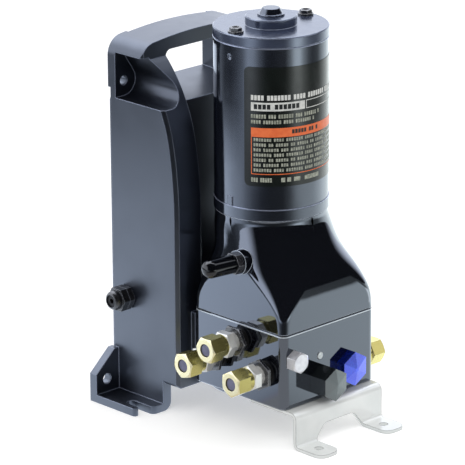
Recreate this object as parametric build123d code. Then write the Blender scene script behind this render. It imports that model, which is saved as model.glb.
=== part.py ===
"""Power assist steering unit for a boat: motor, gear pump, manifold block and electronics case.

Millimetres. The motor axis is the Z axis and the floor under the feet is z = 0. The face with
the plugs looks along -Y, the tube fittings leave along -X and +X, and the bulkhead is at +Y.
"""
from build123d import *
import os
from math import atan, cos, pi, sin, sqrt, tan

# Fits and gaps
GAP = 0.3             # clear air between curved faces of different pieces
RUN_FIT = 0.04        # radial running clearance of shafts in bores
SLIDE_FIT = 0.05      # radial clearance of poppets in their bores
SEAT = 0.05           # air between a shank and the hole that it is screwed or pressed into
SCREW_CLEAR = 0.3     # radial clearance of a screw in a through hole
END_PLAY = 0.1        # air at the ends of a turning piece
PAST = 1.0            # how far a cutter runs past the face that it opens
NUDGE = 0.01          # keeps a fillet just short of a full half round

# Manifold block
BLOCK_W = 93.2
BLOCK_D = 93.2
BLOCK_H = 56.0
BLOCK_Z = 27.5
BLOCK_Y = -12.6
BLOCK_CORNER_R = 5.5
BLOCK_EDGE = 0.8
BLOCK_TOP_EDGE = 0.9
PORT_DEPTH = 14.0
GALLERY_R = 3.0
GALLERY_L = 12.0

# Pump housing, from a square foot to a round top
HOUSING_H = 75.0
HOUSING_WALL = 5.0
HOUSING_TOP_WALL = 9.0
HOUSING_EDGE = 0.3
HOUSING_ROUND_SHARE = 0.7
HOUSING_ROUND_POWER = 1.3
HOUSING_SECTIONS = 9
SEAL_T = 0.8
HOUSING_SCREW_R = 3.0
HEX_KEY_AF = 5.0
HOUSING_SCREW_HEAD_R = 5.0
HOUSING_SCREW_HEAD_H = 6.0
HOUSING_SCREW_GRIP = 12.0
HOUSING_POST_R = 6.5
HOUSING_SCREWS = ((-24.0, -51.0), (34.0, -50.5), (-32.0, 26.5), (32.0, 26.5))

# Motor
MOTOR_R = 41.25
CAN_H = 118.4
CAN_WALL = 2.5
RING_H = 8.5
END_CAP_H = 8.0
CAP_EDGE = 0.7
CAP_LIP = 0.4
BOSS_R = 18.6
BOSS_H = 6.6
BEARING_CAP_FLANGE_R = 9.8
BEARING_CAP_FLANGE_H = 1.2
BEARING_CAP_R = 9.0
BEARING_CAP_TOP_R = 6.3
BEARING_CAP_H = 5.2
BOLT_CIRCLE_R = 35.0
BOLT_R = 2.5
BOLT_FLANGE_R = 5.6
BOLT_FLANGE_H = 1.4
BOLT_HEX_AF = 8.0
BOLT_HEX_H = 4.0
BOLT_HEX_EDGE = 0.5
BOLT_DIMPLE_R = 2.6
BOLT_DIMPLE_DEPTH = 0.8
BOLT_GRIP = 7.0
SHAFT_R = 5.0
SHAFT_LOW_Z = 131.0
BEARING_R = 11.0
BEARING_H = 7.0
BEARING_GROOVE_W = 3.0
BEARING_GROOVE_DEPTH = 0.5
SHAFT_EDGE = 0.5
MAGNET_AIR = 1.0
MAGNET_H = 72.0
MAGNET_SPAN = 116.0
CORE_R = 30.5
CORE_H = 62.0
CORE_Z = 196.0
CORE_SLOTS = 12
CORE_SLOT_W = 3.4
CORE_SLOT_D = 11.0
WINDING_R = 25.0
WINDING_IN_R = 9.0
WINDING_H = 9.0
WINDING_EDGE = 2.5
COMMUTATOR_R = 11.0
COMMUTATOR_H = 13.0
COMMUTATOR_CUT = 0.7
COMMUTATOR_CUT_D = 1.5
BRUSH_W = 7.0
BRUSH_H = 9.0
BRUSH_L = 13.0
BRUSH_GUIDE_WALL = 1.5
BRUSH_PLATE_T = 3.0
BRUSH_PLATE_IN_R = 14.0
LABEL_T = 0.25
LABEL_Z = 185.5
LABEL_H = 87.5
LABEL_START = 198.0
LABEL_SPAN = 150.0
LABEL_CORNER_R = 4.0
DIMPLE_Z = 277.8
DIMPLE_R = 3.0
DIMPLE_DEPTH = 0.9
TAB_Z = 168.4
TAB_W = 4.6
TAB_H = 6.6
TAB_T = 0.8

# Gear pump inside the pump housing
GEAR_MODULE = 2.5
GEAR_TEETH = 10
GEAR_PRESSURE_ANGLE = 20.0
GEAR_H = 14.0
GEAR_BACKLASH = 0.55
GEAR_ADDENDUM = 0.82
GEAR_DEDENDUM = 1.25
GEAR_FLANK_POINTS = 4
GEAR_ROOT_RELIEF = 0.7
PUMP_BODY_W = 48.0
PUMP_BODY_D = 66.0
PUMP_BODY_R = 12.0
PUMP_FLOOR_T = 6.0
PUMP_COVER_T = 8.0
PUMP_STUB_L = 4.0
PUMP_SHAFT_TOP_Z = 130.0
IDLER_PIN_R = 4.0
IDLER_PIN_SEAT = 4.0
PUMP_SCREW_R = 2.5
PUMP_SCREW_X = 17.0
PUMP_SCREW_Y = 25.5
PUMP_SCREW_HEAD_R = 4.4
PUMP_SCREW_HEAD_H = 4.0
PUMP_SCREW_GRIP = 9.0
COUPLING_R = 11.0
COUPLING_H = 22.0
COUPLING_SLIT = 1.2
SHAFT_SEAL_R = 9.0
SHAFT_SEAL_H = 6.0

# Tube fittings: dy from the block's middle, height above its bottom and the turn of the nut
LEFT_PORTS = ((21.1, 26.4, 15.0), (-2.4, 44.2, 0.0), (-28.2, 25.2, 30.0))
RIGHT_PORT = (-26.0, 12.6, 0.0)
LEFT_NECK_L = 12.4
RIGHT_NECK_L = 1.4
LOCKNUT_AT = 5.0
LOCKNUT_AF = 20.5
LOCKNUT_T = 2.5
THREAD_R = 6.5
NECK_R = 7.0
ADAPTOR_AF = 17.5
ADAPTOR_HEX_L = 6.4
SPIGOT_R = 6.2
SPIGOT_L = 8.0
NUT_AF = 17.5
NUT_L = 12.0
NUT_COLLAR_R = 8.3
NUT_COLLAR_L = 4.2
NUT_EDGE = 1.0
TUBE_R = 4.9
FLOW_R = 3.6
ORING_R = 8.9
ORING_T = 2.2
SLEEVE_L = 3.0

# Plugs on the front face: x and height above the block's bottom
HEX_PLUG_AT = (-36.5, 36.5)
HEX_PLUG_AF = 14.0
HEX_PLUG_L = 8.0
HEX_PLUG_EDGE = 0.8
HEX_PLUG_THREAD_R = 4.0
HEX_PLUG_THREAD_L = 7.0
DOT_PLUG_AT = (-9.8, 33.5)
DOT_PLUG_R = 2.8
DOT_PLUG_L = 6.0
DOT_PLUG_PROUD = 0.5
BLACK_PLUG_AT = (-8.4, 14.3)
BLACK_PLUG_AF = 21.5
BLACK_PLUG_L = 17.0
BLUE_PLUG_AT = (19.2, 17.5)
BLUE_PLUG_AF = 22.5
BLUE_PLUG_L = 9.5
PLUG_FACET = 2.2
PLUG_FACET_SLOPE = 77.5
PLUG_TURN = 30.0
PLUG_THREAD_R = 8.0
PLUG_THREAD_L = 12.0
PLUG_FLOOR_T = 3.0
POPPET_R = 4.0
POPPET_NOSE_L = 3.5
POPPET_SHANK_L = 6.0
POPPET_TRAVEL = 3.0
SPRING_WIRE_R = 0.6
SPRING_TURNS = 4

# Vent fitting on the pump housing
VENT_AT = (-33.0, -14.6, 128.9)
VENT_TILT = 3.5
VENT_ROOT = 8.0
VENT_BOSS_R = 9.0
VENT_BOSS_END = 16.0
VENT_HEX_AF = 14.0
VENT_HEX_L = 5.5
VENT_THREAD_R = 5.0
VENT_NIPPLE_R = 4.2
VENT_CAP_START = 1.5
VENT_CAP_L = 25.5
VENT_CAP_R = 6.8
VENT_CAP_WALL = 2.4
VENT_CAP_DOME_R = 6.4
VENT_CAP_PULL = 30.0

# Support bracket under the block
BRACKET_W = 88.5
BRACKET_T = 2.5
BRACKET_FRONT = 10.0
BRACKET_BEND_R = 5.0
BRACKET_TONGUE_L = 36.0
BRACKET_FOOT_W = 20.5
BRACKET_FOOT_L = 28.0
BRACKET_FOOT_R = 7.5
BRACKET_HOLE_R = 3.2
BRACKET_HOLE_X = 33.5
BRACKET_HOLE_IN = 13.0
BRACKET_ARCH_H = 13.4
BRACKET_ARCH_TOP_W = 30.0
BRACKET_ARCH_R = 7.0
BRACKET_SCREW_X = 24.0
BRACKET_SCREW_Y = -40.0
BRACKET_SCREW_R = 3.0
BRACKET_SCREW_L = 8.0
BRACKET_SCREW_HEAD_R = 5.0
BRACKET_SCREW_HEAD_H = 3.2
BRACKET_KEY_AF = 4.0

# Round cover under the block
COVER_R = 31.0
COVER_H = 11.0
COVER_Y = 22.4
COVER_EDGE = 2.0
COVER_SCREW_X = 17.0
COVER_SCREW_Y = 5.0
COVER_SCREW_R = 2.0
COVER_SCREW_L = 8.0
COVER_SCREW_HEAD_R = 3.6
COVER_SCREW_HEAD_H = 2.4

# Electronics case, a casting with its handle, cheeks, lugs and feet
CASE_HALF_W = 58.3
CASE_BACK_Y = 106.8
CASE_BOTTOM_Z = 21.5
CASE_TOP_Z = 278.0
CASE_CROWN = 5.0
CASE_SHOULDER_R = 14.0
CASE_WALL = 5.0
CHEEK_FRONT_Y = 38.0
CHEEK_INNER_X = 34.0
RECESS_Y = 54.5
SWEEP_Z = 150.0
SWEEP_LOW_R = 310.0
SWEEP_LOW_ANGLE = 10.0
SWEEP_HIGH_R = 111.0
SWEEP_HIGH_ANGLE = 33.0
HANDLE_FRONT_Y = 73.5
HANDLE_H = 11.0
GRIP_FLOOR_Z = 233.0
GRIP_FLOOR_RISE = 3.5
GRIP_CUT_DEPTH = 10.0
GRIP_CORNER_R = 5.0
CASE_EDGE = 2.6
POCKET_X = 50.0
POCKET_Z = 242.0
POCKET_R = 11.5
POCKET_BACK_Y = 101.5
POCKET_TOP_Z = 264.5
POCKET_SLOPE = 33.0
LUG_BACK_Y = 109.3
LUG_HOLE_R = 3.5
LUG_LOW_Z = 237.5
LUG_INNER_X = 40.0
EAR_OUT_X = 81.0
EAR_T = 7.0
EAR_TOP_Z = 38.0
EAR_SHOULDER_X = 62.5
EAR_SHOULDER_Z = 21.5
EAR_HOLE_X = 70.3
EAR_HOLE_Z = 16.4
EAR_HOLE_R = 4.0
FLANGE_T = 6.0
FLANGE_FRONT_Y = 61.0
LOBE_FRONT_Y = 54.5
LOBE_R = 4.0
SLOT_W = 7.5
SLOT_X = 72.25
SLOT_END_Y = 77.0
WEB_T = 8.0
WEB_CORNER_R = 7.0
WEB_OVERLAP = 4.0
PAD_X = 35.5
PAD_W = 9.0
PAD_INSET_Z = 5.0
BLOCK_SCREW_R = 3.0
BLOCK_SCREW_INSET_Z = 14.0
BLOCK_SCREW_GRIP = 10.0
BLOCK_SCREW_HEAD_R = 5.0
BLOCK_SCREW_HEAD_H = 6.0
CAVITY_FRONT_Y = 60.0
CAVITY_TOP_Z = 226.0
CAVITY_CORNER_R = 4.0

# Rear cover
GASKET_T = 0.8
REAR_COVER_T = 1.7
REAR_COVER_MARGIN = 1.5
REAR_RIM_W = 3.4
REAR_SCREW_R = 1.5
REAR_SCREW_HEAD_R = 3.0
REAR_SCREW_L = 9.0
REAR_SCREW_POST_R = 4.0
REAR_SCREW_POST_L = 12.0
REAR_SCREW_INSET = 3.0
REAR_SCREW_ROWS = 4

# Electronics
BOARD_T = 1.6
BOARD_Z = 48.0
BOARD_TOP_GAP = 10.0
BOARD_SIDE_GAP = 7.3
BOARD_CORNER_R = 3.0
BOARD_Y = 86.0
STANDOFF_R = 4.0
STANDOFF_INSET = 6.0
BOARD_SCREW_R = 1.5
BOARD_SCREW_L = 8.0
BOARD_SCREW_HEAD_R = 2.8
BOARD_SCREW_HEAD_H = 2.0
TRANSISTOR_W = 10.0
TRANSISTOR_H = 15.0
TRANSISTOR_T = 4.5
TRANSISTOR_PITCH = 13.0
TRANSISTORS = 6
TRANSISTOR_Z = 152.0
CAPACITOR_R = 8.0
CAPACITOR_H = 20.0
CAPACITOR_PITCH = 20.0
CAPACITORS = 3
CAPACITOR_Z = 115.0
TERMINAL_W = 40.0
TERMINAL_H = 14.0
TERMINAL_D = 11.0
TERMINALS = 4
TERMINAL_HOLE_R = 3.5
TERMINAL_HOLE_DEPTH = 3.0

# Cable gland
GLAND_Y = 91.7
GLAND_Z = 80.7
GLAND_THREAD_R = 5.8
GLAND_INSIDE_L = 6.0
GLAND_NECK_R = 8.0
GLAND_NECK_L = 1.0
GLAND_HEX_AF = 16.5
GLAND_HEX_L = 4.4
GLAND_SPIGOT_L = 5.0
GLAND_NUT_HEX_L = 5.5
GLAND_DOME_R = 7.3
GLAND_DOME_L = 6.0
GLAND_DOME_ROUND = 4.0
GLAND_MOUTH_R = 4.8
GLAND_BORE_R = 3.6
GLAND_SEAL_HOLE_R = 1.9
GLAND_SEAL_L = 3.4
GLAND_SEAL_NOSE_L = 2.0
GLAND_LOCKNUT_L = 4.0

# Worked out from the sizes above
BLOCK_TOP_Z = BLOCK_Z + BLOCK_H
BLOCK_FRONT_Y = BLOCK_Y - BLOCK_D / 2
BLOCK_BACK_Y = BLOCK_Y + BLOCK_D / 2
HOUSING_Z = BLOCK_TOP_Z + SEAL_T
RING_Z = HOUSING_Z + HOUSING_H
CAN_Z = RING_Z + RING_H
CAN_TOP_Z = CAN_Z + CAN_H
CAP_TOP_Z = CAN_TOP_Z + END_CAP_H
BOSS_TOP_Z = CAP_TOP_Z + BOSS_H
CAN_IN_R = MOTOR_R - CAN_WALL
GEAR_PITCH_R = GEAR_MODULE * GEAR_TEETH / 2
GEAR_TIP_R = GEAR_PITCH_R + GEAR_MODULE * GEAR_ADDENDUM
GEAR_CENTRES = 2 * GEAR_PITCH_R
CHAMBER_R = GEAR_TIP_R + GAP
GEAR_Z = BLOCK_TOP_Z + PUMP_FLOOR_T + END_PLAY
PUMP_BODY_TOP_Z = GEAR_Z + GEAR_H + END_PLAY
PUMP_COVER_TOP_Z = PUMP_BODY_TOP_Z + PUMP_COVER_T
PUMP_Y = -GEAR_CENTRES / 2
POPPET_ROOM = POPPET_NOSE_L + POPPET_SHANK_L + POPPET_TRAVEL
MAGNET_IN_R = CORE_R + MAGNET_AIR
BRACKET_FRONT_Y = BLOCK_FRONT_Y - BRACKET_FRONT
COVER_BACK_Y = CASE_BACK_Y + GASKET_T + REAR_COVER_T
BOARD_W = 2 * (CASE_HALF_W - CASE_WALL - BOARD_SIDE_GAP)
BOARD_H = CAVITY_TOP_Z - BOARD_TOP_GAP - BOARD_Z


# Helpers

def cylinder(radius, z_low, height, x=0.0, y=0.0):
    """Upright cylinder standing at z_low."""
    return Pos(x, y, z_low) * extrude(Circle(radius), height)


def tube(outer, inner, z_low, height, x=0.0, y=0.0):
    """Upright ring or tube."""
    return Pos(x, y, z_low) * extrude(Circle(outer) - Circle(inner), height)


def frustum(low_r, high_r, z_low, height):
    """Upright cone frustum."""
    return Pos(0, 0, z_low + height / 2) * Cone(low_r, high_r, height)


def slab(x0, x1, y0, y1, z0, z1):
    """Box between two corners."""
    return Pos((x0 + x1) / 2, (y0 + y1) / 2, (z0 + z1) / 2) * Box(x1 - x0, y1 - y0, z1 - z0)


def hexagon(across_flats, z_low, length):
    """Upright hexagonal prism."""
    outline = RegularPolygon(across_flats / 2, 6, major_radius=False)
    return Pos(0, 0, z_low) * extrude(outline, length)


def turned_hexagon(across_flats, z_low, length, edge):
    """Hexagonal prism whose outer end is turned down to a chamfer."""
    corner_r = across_flats / sqrt(3)
    bar = cylinder(corner_r, z_low, length - edge)
    bar += frustum(corner_r, corner_r - 2 * edge, z_low + length - edge, edge)
    return hexagon(across_flats, z_low, length) & bar


def drilled(radius, depth):
    """Blind hole from a face at local z = 0, with the drill's cone at its end."""
    return cylinder(radius, -depth, depth) + frustum(SEAT, radius, -depth - radius / 2, radius / 2)


def socket(across_flats, top_z, depth):
    """Hexagonal key socket sunk from top_z."""
    return hexagon(across_flats, top_z - depth, depth)


def facing(direction, x, y, z):
    """Place whose local +Z leaves a face along the direction, with local Y up."""
    across = Vector(0, 0, 1).cross(Vector(direction))
    return Plane(origin=(x, y, z), x_dir=across, z_dir=direction)


def left_face(y, z, x=-BLOCK_W / 2):
    return facing((-1, 0, 0), x, y, z)


def right_face(y, z, x=BLOCK_W / 2):
    return facing((1, 0, 0), x, y, z)


def front_face(x, z, y=BLOCK_FRONT_Y):
    return facing((0, -1, 0), x, y, z)


def back_face(x, z, y):
    return facing((0, 1, 0), x, y, z)


def along_y(outline, y_low, y_high):
    """Extrude an outline, drawn in x and z, between two y places."""
    return extrude(Plane.XZ.offset(-y_low) * outline, -(y_high - y_low))


def along_x(outline, x_low, x_high):
    """Extrude an outline, drawn in y and z, between two x places."""
    return extrude(Plane.YZ.offset(x_low) * outline, x_high - x_low)


def both_sides(shape):
    """The shape and its mirror copy across the middle plane."""
    return shape + mirror(shape, about=Plane.YZ)


def arc_ring(inner, outer, z_low, height, middle_angle, span):
    """Sector of a ring about the motor axis."""
    middle = Pos((inner + outer) / 2, 0, z_low + height / 2)
    section = middle * Rot(90, 0, 0) * Rectangle(outer - inner, height)
    return Rot(0, 0, middle_angle - span / 2) * revolve(section, Axis.Z, span)


# Manifold block

def ports():
    """Each tube port: its place, pointing out of the block, and the length of its neck."""
    found = []
    for dy, dz, turn in LEFT_PORTS:
        found.append((left_face(BLOCK_Y + dy, BLOCK_Z + dz) * Rot(0, 0, turn), LEFT_NECK_L))
    dy, dz, turn = RIGHT_PORT
    return found + [(right_face(BLOCK_Y + dy, BLOCK_Z + dz) * Rot(0, 0, turn), RIGHT_NECK_L)]


def plug_place(at):
    """Place on the front face from x and the height above the block's bottom, one corner up."""
    return front_face(at[0], BLOCK_Z + at[1]) * Rot(0, 0, PLUG_TURN)


def block_screw_places():
    """x and z of the screws that hold the block to the case."""
    middle_x = PAD_X + PAD_W / 2
    heights = (BLOCK_Z + BLOCK_SCREW_INSET_Z, BLOCK_TOP_Z - BLOCK_SCREW_INSET_Z)
    return [(x, z) for x in (-middle_x, middle_x) for z in heights]


def pump_screw_places():
    offsets = (-PUMP_SCREW_Y, PUMP_SCREW_Y)
    return [(x, PUMP_Y + y) for x in (-PUMP_SCREW_X, PUMP_SCREW_X) for y in offsets]


def manifold_block():
    """Machined block with ports on its sides, valves in its front and the pump on its top."""
    outline = RectangleRounded(BLOCK_W, BLOCK_D, BLOCK_CORNER_R)
    body = Pos(0, BLOCK_Y, BLOCK_Z) * extrude(outline, BLOCK_H)
    body = chamfer(body.faces().sort_by(Axis.Z)[0].edges(), BLOCK_EDGE)
    body = chamfer(body.faces().sort_by(Axis.Z)[-1].edges(), BLOCK_TOP_EDGE)
    for place, _ in ports():
        body -= place * drilled(THREAD_R + SEAT, PORT_DEPTH + GAP)
        body -= place * drilled(GALLERY_R, PORT_DEPTH + GALLERY_L)
    for at in (BLACK_PLUG_AT, BLUE_PLUG_AT):
        body -= plug_place(at) * cylinder(PLUG_THREAD_R + SEAT, -PLUG_THREAD_L, PLUG_THREAD_L)
        body -= plug_place(at) * drilled(POPPET_R + SLIDE_FIT, PLUG_THREAD_L + POPPET_ROOM)
        body -= plug_place(at) * drilled(GALLERY_R / 2, PLUG_THREAD_L + POPPET_ROOM + GALLERY_L)
    body -= plug_place(HEX_PLUG_AT) * drilled(HEX_PLUG_THREAD_R + SEAT, HEX_PLUG_THREAD_L + GAP)
    body -= plug_place(DOT_PLUG_AT) * drilled(DOT_PLUG_R + SEAT, DOT_PLUG_L + GAP)
    for x, z in block_screw_places():
        body -= back_face(x, z, BLOCK_BACK_Y) * drilled(BLOCK_SCREW_R + SEAT, BLOCK_SCREW_GRIP + GAP)
    for x, y in HOUSING_SCREWS:
        body -= cylinder(HOUSING_SCREW_R + SCREW_CLEAR, BLOCK_Z, BLOCK_H, x, y)
        body -= cylinder(HOUSING_SCREW_HEAD_R + GAP, BLOCK_Z, HOUSING_SCREW_HEAD_H + GAP, x, y)
    for x in (-BRACKET_SCREW_X, BRACKET_SCREW_X):
        body -= cylinder(BRACKET_SCREW_R + SEAT, BLOCK_Z, BRACKET_SCREW_L + GAP, x, BRACKET_SCREW_Y)
    for x in (-COVER_SCREW_X, COVER_SCREW_X):
        body -= cylinder(COVER_SCREW_R + SEAT, BLOCK_Z, COVER_SCREW_L + GAP, x, COVER_SCREW_Y)
    for x, y in pump_screw_places():
        depth = PUMP_SCREW_GRIP + GAP
        body -= cylinder(PUMP_SCREW_R + SEAT, BLOCK_TOP_Z - depth, depth, x, y)
    return body


# Plugs and the valves behind them

def hex_plug():
    """Plated hexagon plug on the front face."""
    head = turned_hexagon(HEX_PLUG_AF, 0, HEX_PLUG_L, HEX_PLUG_EDGE)
    thread = cylinder(HEX_PLUG_THREAD_R, -HEX_PLUG_THREAD_L, HEX_PLUG_THREAD_L)
    return plug_place(HEX_PLUG_AT) * (head + thread)


def dot_plug():
    """Small pressed plug that closes a drilling."""
    body = cylinder(DOT_PLUG_R, -DOT_PLUG_L, DOT_PLUG_L + DOT_PLUG_PROUD)
    return plug_place(DOT_PLUG_AT) * chamfer(body.edges().sort_by(Axis.Z)[-1], DOT_PLUG_PROUD / 2)


def facet_plug(at, across_flats, length):
    """Valve plug: a hexagon that ends in a low six-sided point, and a hollow thread."""
    outline = RegularPolygon(across_flats / 2, 6, major_radius=False)
    head = extrude(outline, length - PLUG_FACET)
    tip = Pos(0, 0, length - PLUG_FACET) * extrude(outline, PLUG_FACET, taper=PLUG_FACET_SLOPE)
    thread = cylinder(PLUG_THREAD_R, -PLUG_THREAD_L, PLUG_THREAD_L)
    pocket = cylinder(POPPET_R, -PLUG_THREAD_L, PLUG_THREAD_L - PLUG_FLOOR_T)
    return plug_place(at) * (head + tip + thread - pocket)


def poppet(at):
    """Valve poppet with a conical nose, at rest against the end of its bore."""
    low = -PLUG_THREAD_L - POPPET_ROOM
    nose = frustum(POPPET_R / 2, POPPET_R, low, POPPET_NOSE_L)
    return plug_place(at) * (nose + cylinder(POPPET_R, low + POPPET_NOSE_L, POPPET_SHANK_L))


def poppet_spring(at):
    """Coil spring between the poppet and the floor of its plug."""
    low = -PLUG_THREAD_L - POPPET_TRAVEL + SPRING_WIRE_R
    length = -PLUG_FLOOR_T - SPRING_WIRE_R - low
    coil = Helix(length / SPRING_TURNS, length, POPPET_R - SPRING_WIRE_R - GAP)
    wire = sweep(Plane(origin=coil @ 0, z_dir=coil % 0) * Circle(SPRING_WIRE_R), coil)
    return plug_place(at) * (Pos(0, 0, low) * wire)


# Tube fittings

def port_adaptor(place, neck):
    """Threaded adaptor with a neck, a hexagon and the spigot for the tube nut."""
    length = neck + ADAPTOR_HEX_L + SPIGOT_L
    body = cylinder(THREAD_R, -PORT_DEPTH, PORT_DEPTH + neck)
    if neck > ORING_T:
        body += cylinder(NECK_R, ORING_T, neck - ORING_T)
    body += turned_hexagon(ADAPTOR_AF, neck, ADAPTOR_HEX_L, NUT_EDGE)
    body += cylinder(SPIGOT_R, neck, length - neck)
    return place * (body - cylinder(FLOW_R, -PORT_DEPTH, PORT_DEPTH + length))


def port_ring(place, neck):
    """Ring seal at the foot of an adaptor."""
    return place * tube(ORING_R, THREAD_R + SEAT, 0, min(ORING_T, neck) - SEAT)


def port_locknuts():
    """Thin black locknuts on the long necks."""
    one = turned_hexagon(LOCKNUT_AF, LOCKNUT_AT, LOCKNUT_T, LOCKNUT_T / 4)
    one -= cylinder(NECK_R + SEAT, LOCKNUT_AT, LOCKNUT_T)
    return [place * one for place, neck in ports() if neck > LOCKNUT_AT + LOCKNUT_T]


def tube_nut(place, neck):
    """Brass nut with a round collar, a chamfered face and an open bore for the tube."""
    start = neck + ADAPTOR_HEX_L
    length = NUT_COLLAR_L + NUT_L
    body = cylinder(NUT_COLLAR_R, start, NUT_COLLAR_L)
    body += turned_hexagon(NUT_AF, start + NUT_COLLAR_L, NUT_L, NUT_EDGE)
    body -= cylinder(SPIGOT_R + SEAT, start, SPIGOT_L + SLEEVE_L)
    return place * (body - cylinder(TUBE_R, start, length))


def tube_sleeve(place, neck):
    """Compression sleeve that the nut presses against the spigot."""
    start = neck + ADAPTOR_HEX_L + SPIGOT_L
    return place * tube(SPIGOT_R, TUBE_R, start, SLEEVE_L - SEAT)


# Pump housing

def smooth(share):
    """Gentle start and end between 0 and 1."""
    return share * share * (3 - 2 * share)


def housing_section(share, inset):
    """Section at a share of the height: a rounded square at the foot, a circle at the motor."""
    swell = smooth(share) ** 2
    width = BLOCK_W + (2 * MOTOR_R - BLOCK_W) * swell - 2 * inset
    depth = BLOCK_D + (2 * MOTOR_R - BLOCK_D) * swell - 2 * inset
    turn = smooth(min(1.0, share / HOUSING_ROUND_SHARE)) ** HOUSING_ROUND_POWER
    corner = BLOCK_CORNER_R + (MOTOR_R - BLOCK_CORNER_R - inset) * turn
    corner = min(corner, min(width, depth) / 2 - 2 * NUDGE)
    z = HOUSING_Z + HOUSING_EDGE + (HOUSING_H - HOUSING_EDGE) * share
    return Pos(0, BLOCK_Y * (1 - swell), z) * RectangleRounded(width, depth, corner)


def housing_form(inset, top_share):
    """Lofted solid from the block up to a share of the housing's height."""
    last = HOUSING_SECTIONS - 1
    return loft([housing_section(top_share * i / last, inset) for i in range(HOUSING_SECTIONS)])


def housing_foot(inset, edge):
    """Low slab under the loft, with its lower edge cut back by the chamfer."""
    outline = RectangleRounded(BLOCK_W - 2 * inset, BLOCK_D - 2 * inset, BLOCK_CORNER_R)
    low = Pos(0, BLOCK_Y, HOUSING_Z) * offset(outline, -edge)
    high = Pos(0, BLOCK_Y, HOUSING_Z + HOUSING_EDGE) * outline
    return loft([low, high], ruled=True)


def vent_place():
    """Place of the vent fitting: local +Z runs out to the left and slightly upwards."""
    tilt = VENT_TILT * pi / 180
    return facing((-cos(tilt), 0, sin(tilt)), *VENT_AT)


def pump_housing():
    """Cast shell over the pump, square below and round above, with a boss for the vent."""
    body = housing_form(0, 1.0) + housing_foot(0, HOUSING_EDGE)
    body += vent_place() * cylinder(VENT_BOSS_R, -VENT_ROOT, VENT_ROOT + VENT_BOSS_END)
    hollow = housing_form(HOUSING_WALL, 1 - HOUSING_TOP_WALL / HOUSING_H) + housing_foot(HOUSING_WALL, 0)
    for x, y in HOUSING_SCREWS:
        hollow -= cylinder(HOUSING_POST_R, HOUSING_Z, HOUSING_SCREW_GRIP + HOUSING_WALL, x, y)
    body -= hollow
    for x, y in HOUSING_SCREWS:
        body -= cylinder(HOUSING_SCREW_R + SEAT, HOUSING_Z, HOUSING_SCREW_GRIP + GAP, x, y)
    for x in (-BOLT_CIRCLE_R, BOLT_CIRCLE_R):
        body -= cylinder(BOLT_R + SEAT, RING_Z - BOLT_GRIP - GAP, BOLT_GRIP + GAP, x, 0)
    body -= cylinder(SHAFT_R + GAP, RING_Z - HOUSING_TOP_WALL, HOUSING_TOP_WALL)
    body -= cylinder(SHAFT_SEAL_R + SEAT, RING_Z - SHAFT_SEAL_H, SHAFT_SEAL_H)
    body -= vent_place() * cylinder(VENT_THREAD_R + SEAT, -VENT_ROOT, VENT_ROOT + VENT_BOSS_END)
    return body


def housing_seal():
    """Flat gasket between the block and the pump housing."""
    margin = 2 * BLOCK_TOP_EDGE
    outer = RectangleRounded(BLOCK_W - margin, BLOCK_D - margin, BLOCK_CORNER_R)
    inner_w = BLOCK_W - 2 * HOUSING_WALL
    inner = RectangleRounded(inner_w, BLOCK_D - 2 * HOUSING_WALL, BLOCK_CORNER_R)
    ring = Pos(0, BLOCK_Y, BLOCK_TOP_Z) * extrude(outer - inner, SEAL_T)
    for x, y in HOUSING_SCREWS:
        ring -= cylinder(HOUSING_SCREW_R + SCREW_CLEAR, BLOCK_TOP_Z, SEAL_T, x, y)
    return ring


def housing_screws():
    """Long cap screws from under the block into the housing's posts."""
    head = cylinder(HOUSING_SCREW_HEAD_R, BLOCK_Z, HOUSING_SCREW_HEAD_H)
    shank = cylinder(HOUSING_SCREW_R, BLOCK_Z, HOUSING_Z + HOUSING_SCREW_GRIP - BLOCK_Z)
    depth = HOUSING_SCREW_HEAD_H / 2
    one = head + shank - socket(HEX_KEY_AF, BLOCK_Z + depth, depth)
    return [Pos(x, y, 0) * one for x, y in HOUSING_SCREWS]


def shaft_seal():
    """Lip seal round the motor shaft in the top of the pump housing."""
    return tube(SHAFT_SEAL_R, SHAFT_R + RUN_FIT, RING_Z - SHAFT_SEAL_H, SHAFT_SEAL_H)


def vent_body():
    """Vent fitting: thread, hexagon and the nipple under the cap."""
    body = cylinder(VENT_THREAD_R, -VENT_ROOT / 2, VENT_ROOT / 2 + VENT_BOSS_END)
    body += hexagon(VENT_HEX_AF, VENT_BOSS_END, VENT_HEX_L)
    body += cylinder(VENT_NIPPLE_R, VENT_BOSS_END + VENT_HEX_L, VENT_CAP_L - VENT_CAP_WALL)
    whole = VENT_ROOT / 2 + VENT_BOSS_END + VENT_HEX_L + VENT_CAP_L
    body -= cylinder(VENT_NIPPLE_R / 2, -VENT_ROOT / 2, whole)
    return vent_place() * body


def vent_cap():
    """Soft cap pushed over the vent's nipple."""
    start = VENT_BOSS_END + VENT_HEX_L + VENT_CAP_START
    body = cylinder(VENT_CAP_R, start, VENT_CAP_L)
    body = fillet(body.edges().sort_by(Axis.Z)[-1], VENT_CAP_DOME_R)
    body -= cylinder(VENT_NIPPLE_R + SLIDE_FIT, start, VENT_CAP_L - VENT_CAP_WALL)
    return vent_place() * body


# Gear pump

def involute_half_angle(radius):
    """Half of a tooth's angle at a radius, in radians."""
    pressure = GEAR_PRESSURE_ANGLE * pi / 180
    base_r = GEAR_PITCH_R * cos(pressure)
    at_pitch = (pi * GEAR_MODULE / 2 - GEAR_BACKLASH) / 2 / GEAR_PITCH_R
    roll = sqrt(max(0.0, (radius / base_r) ** 2 - 1))
    unroll = roll - atan(roll)
    return at_pitch + tan(pressure) - pressure - unroll


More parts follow.
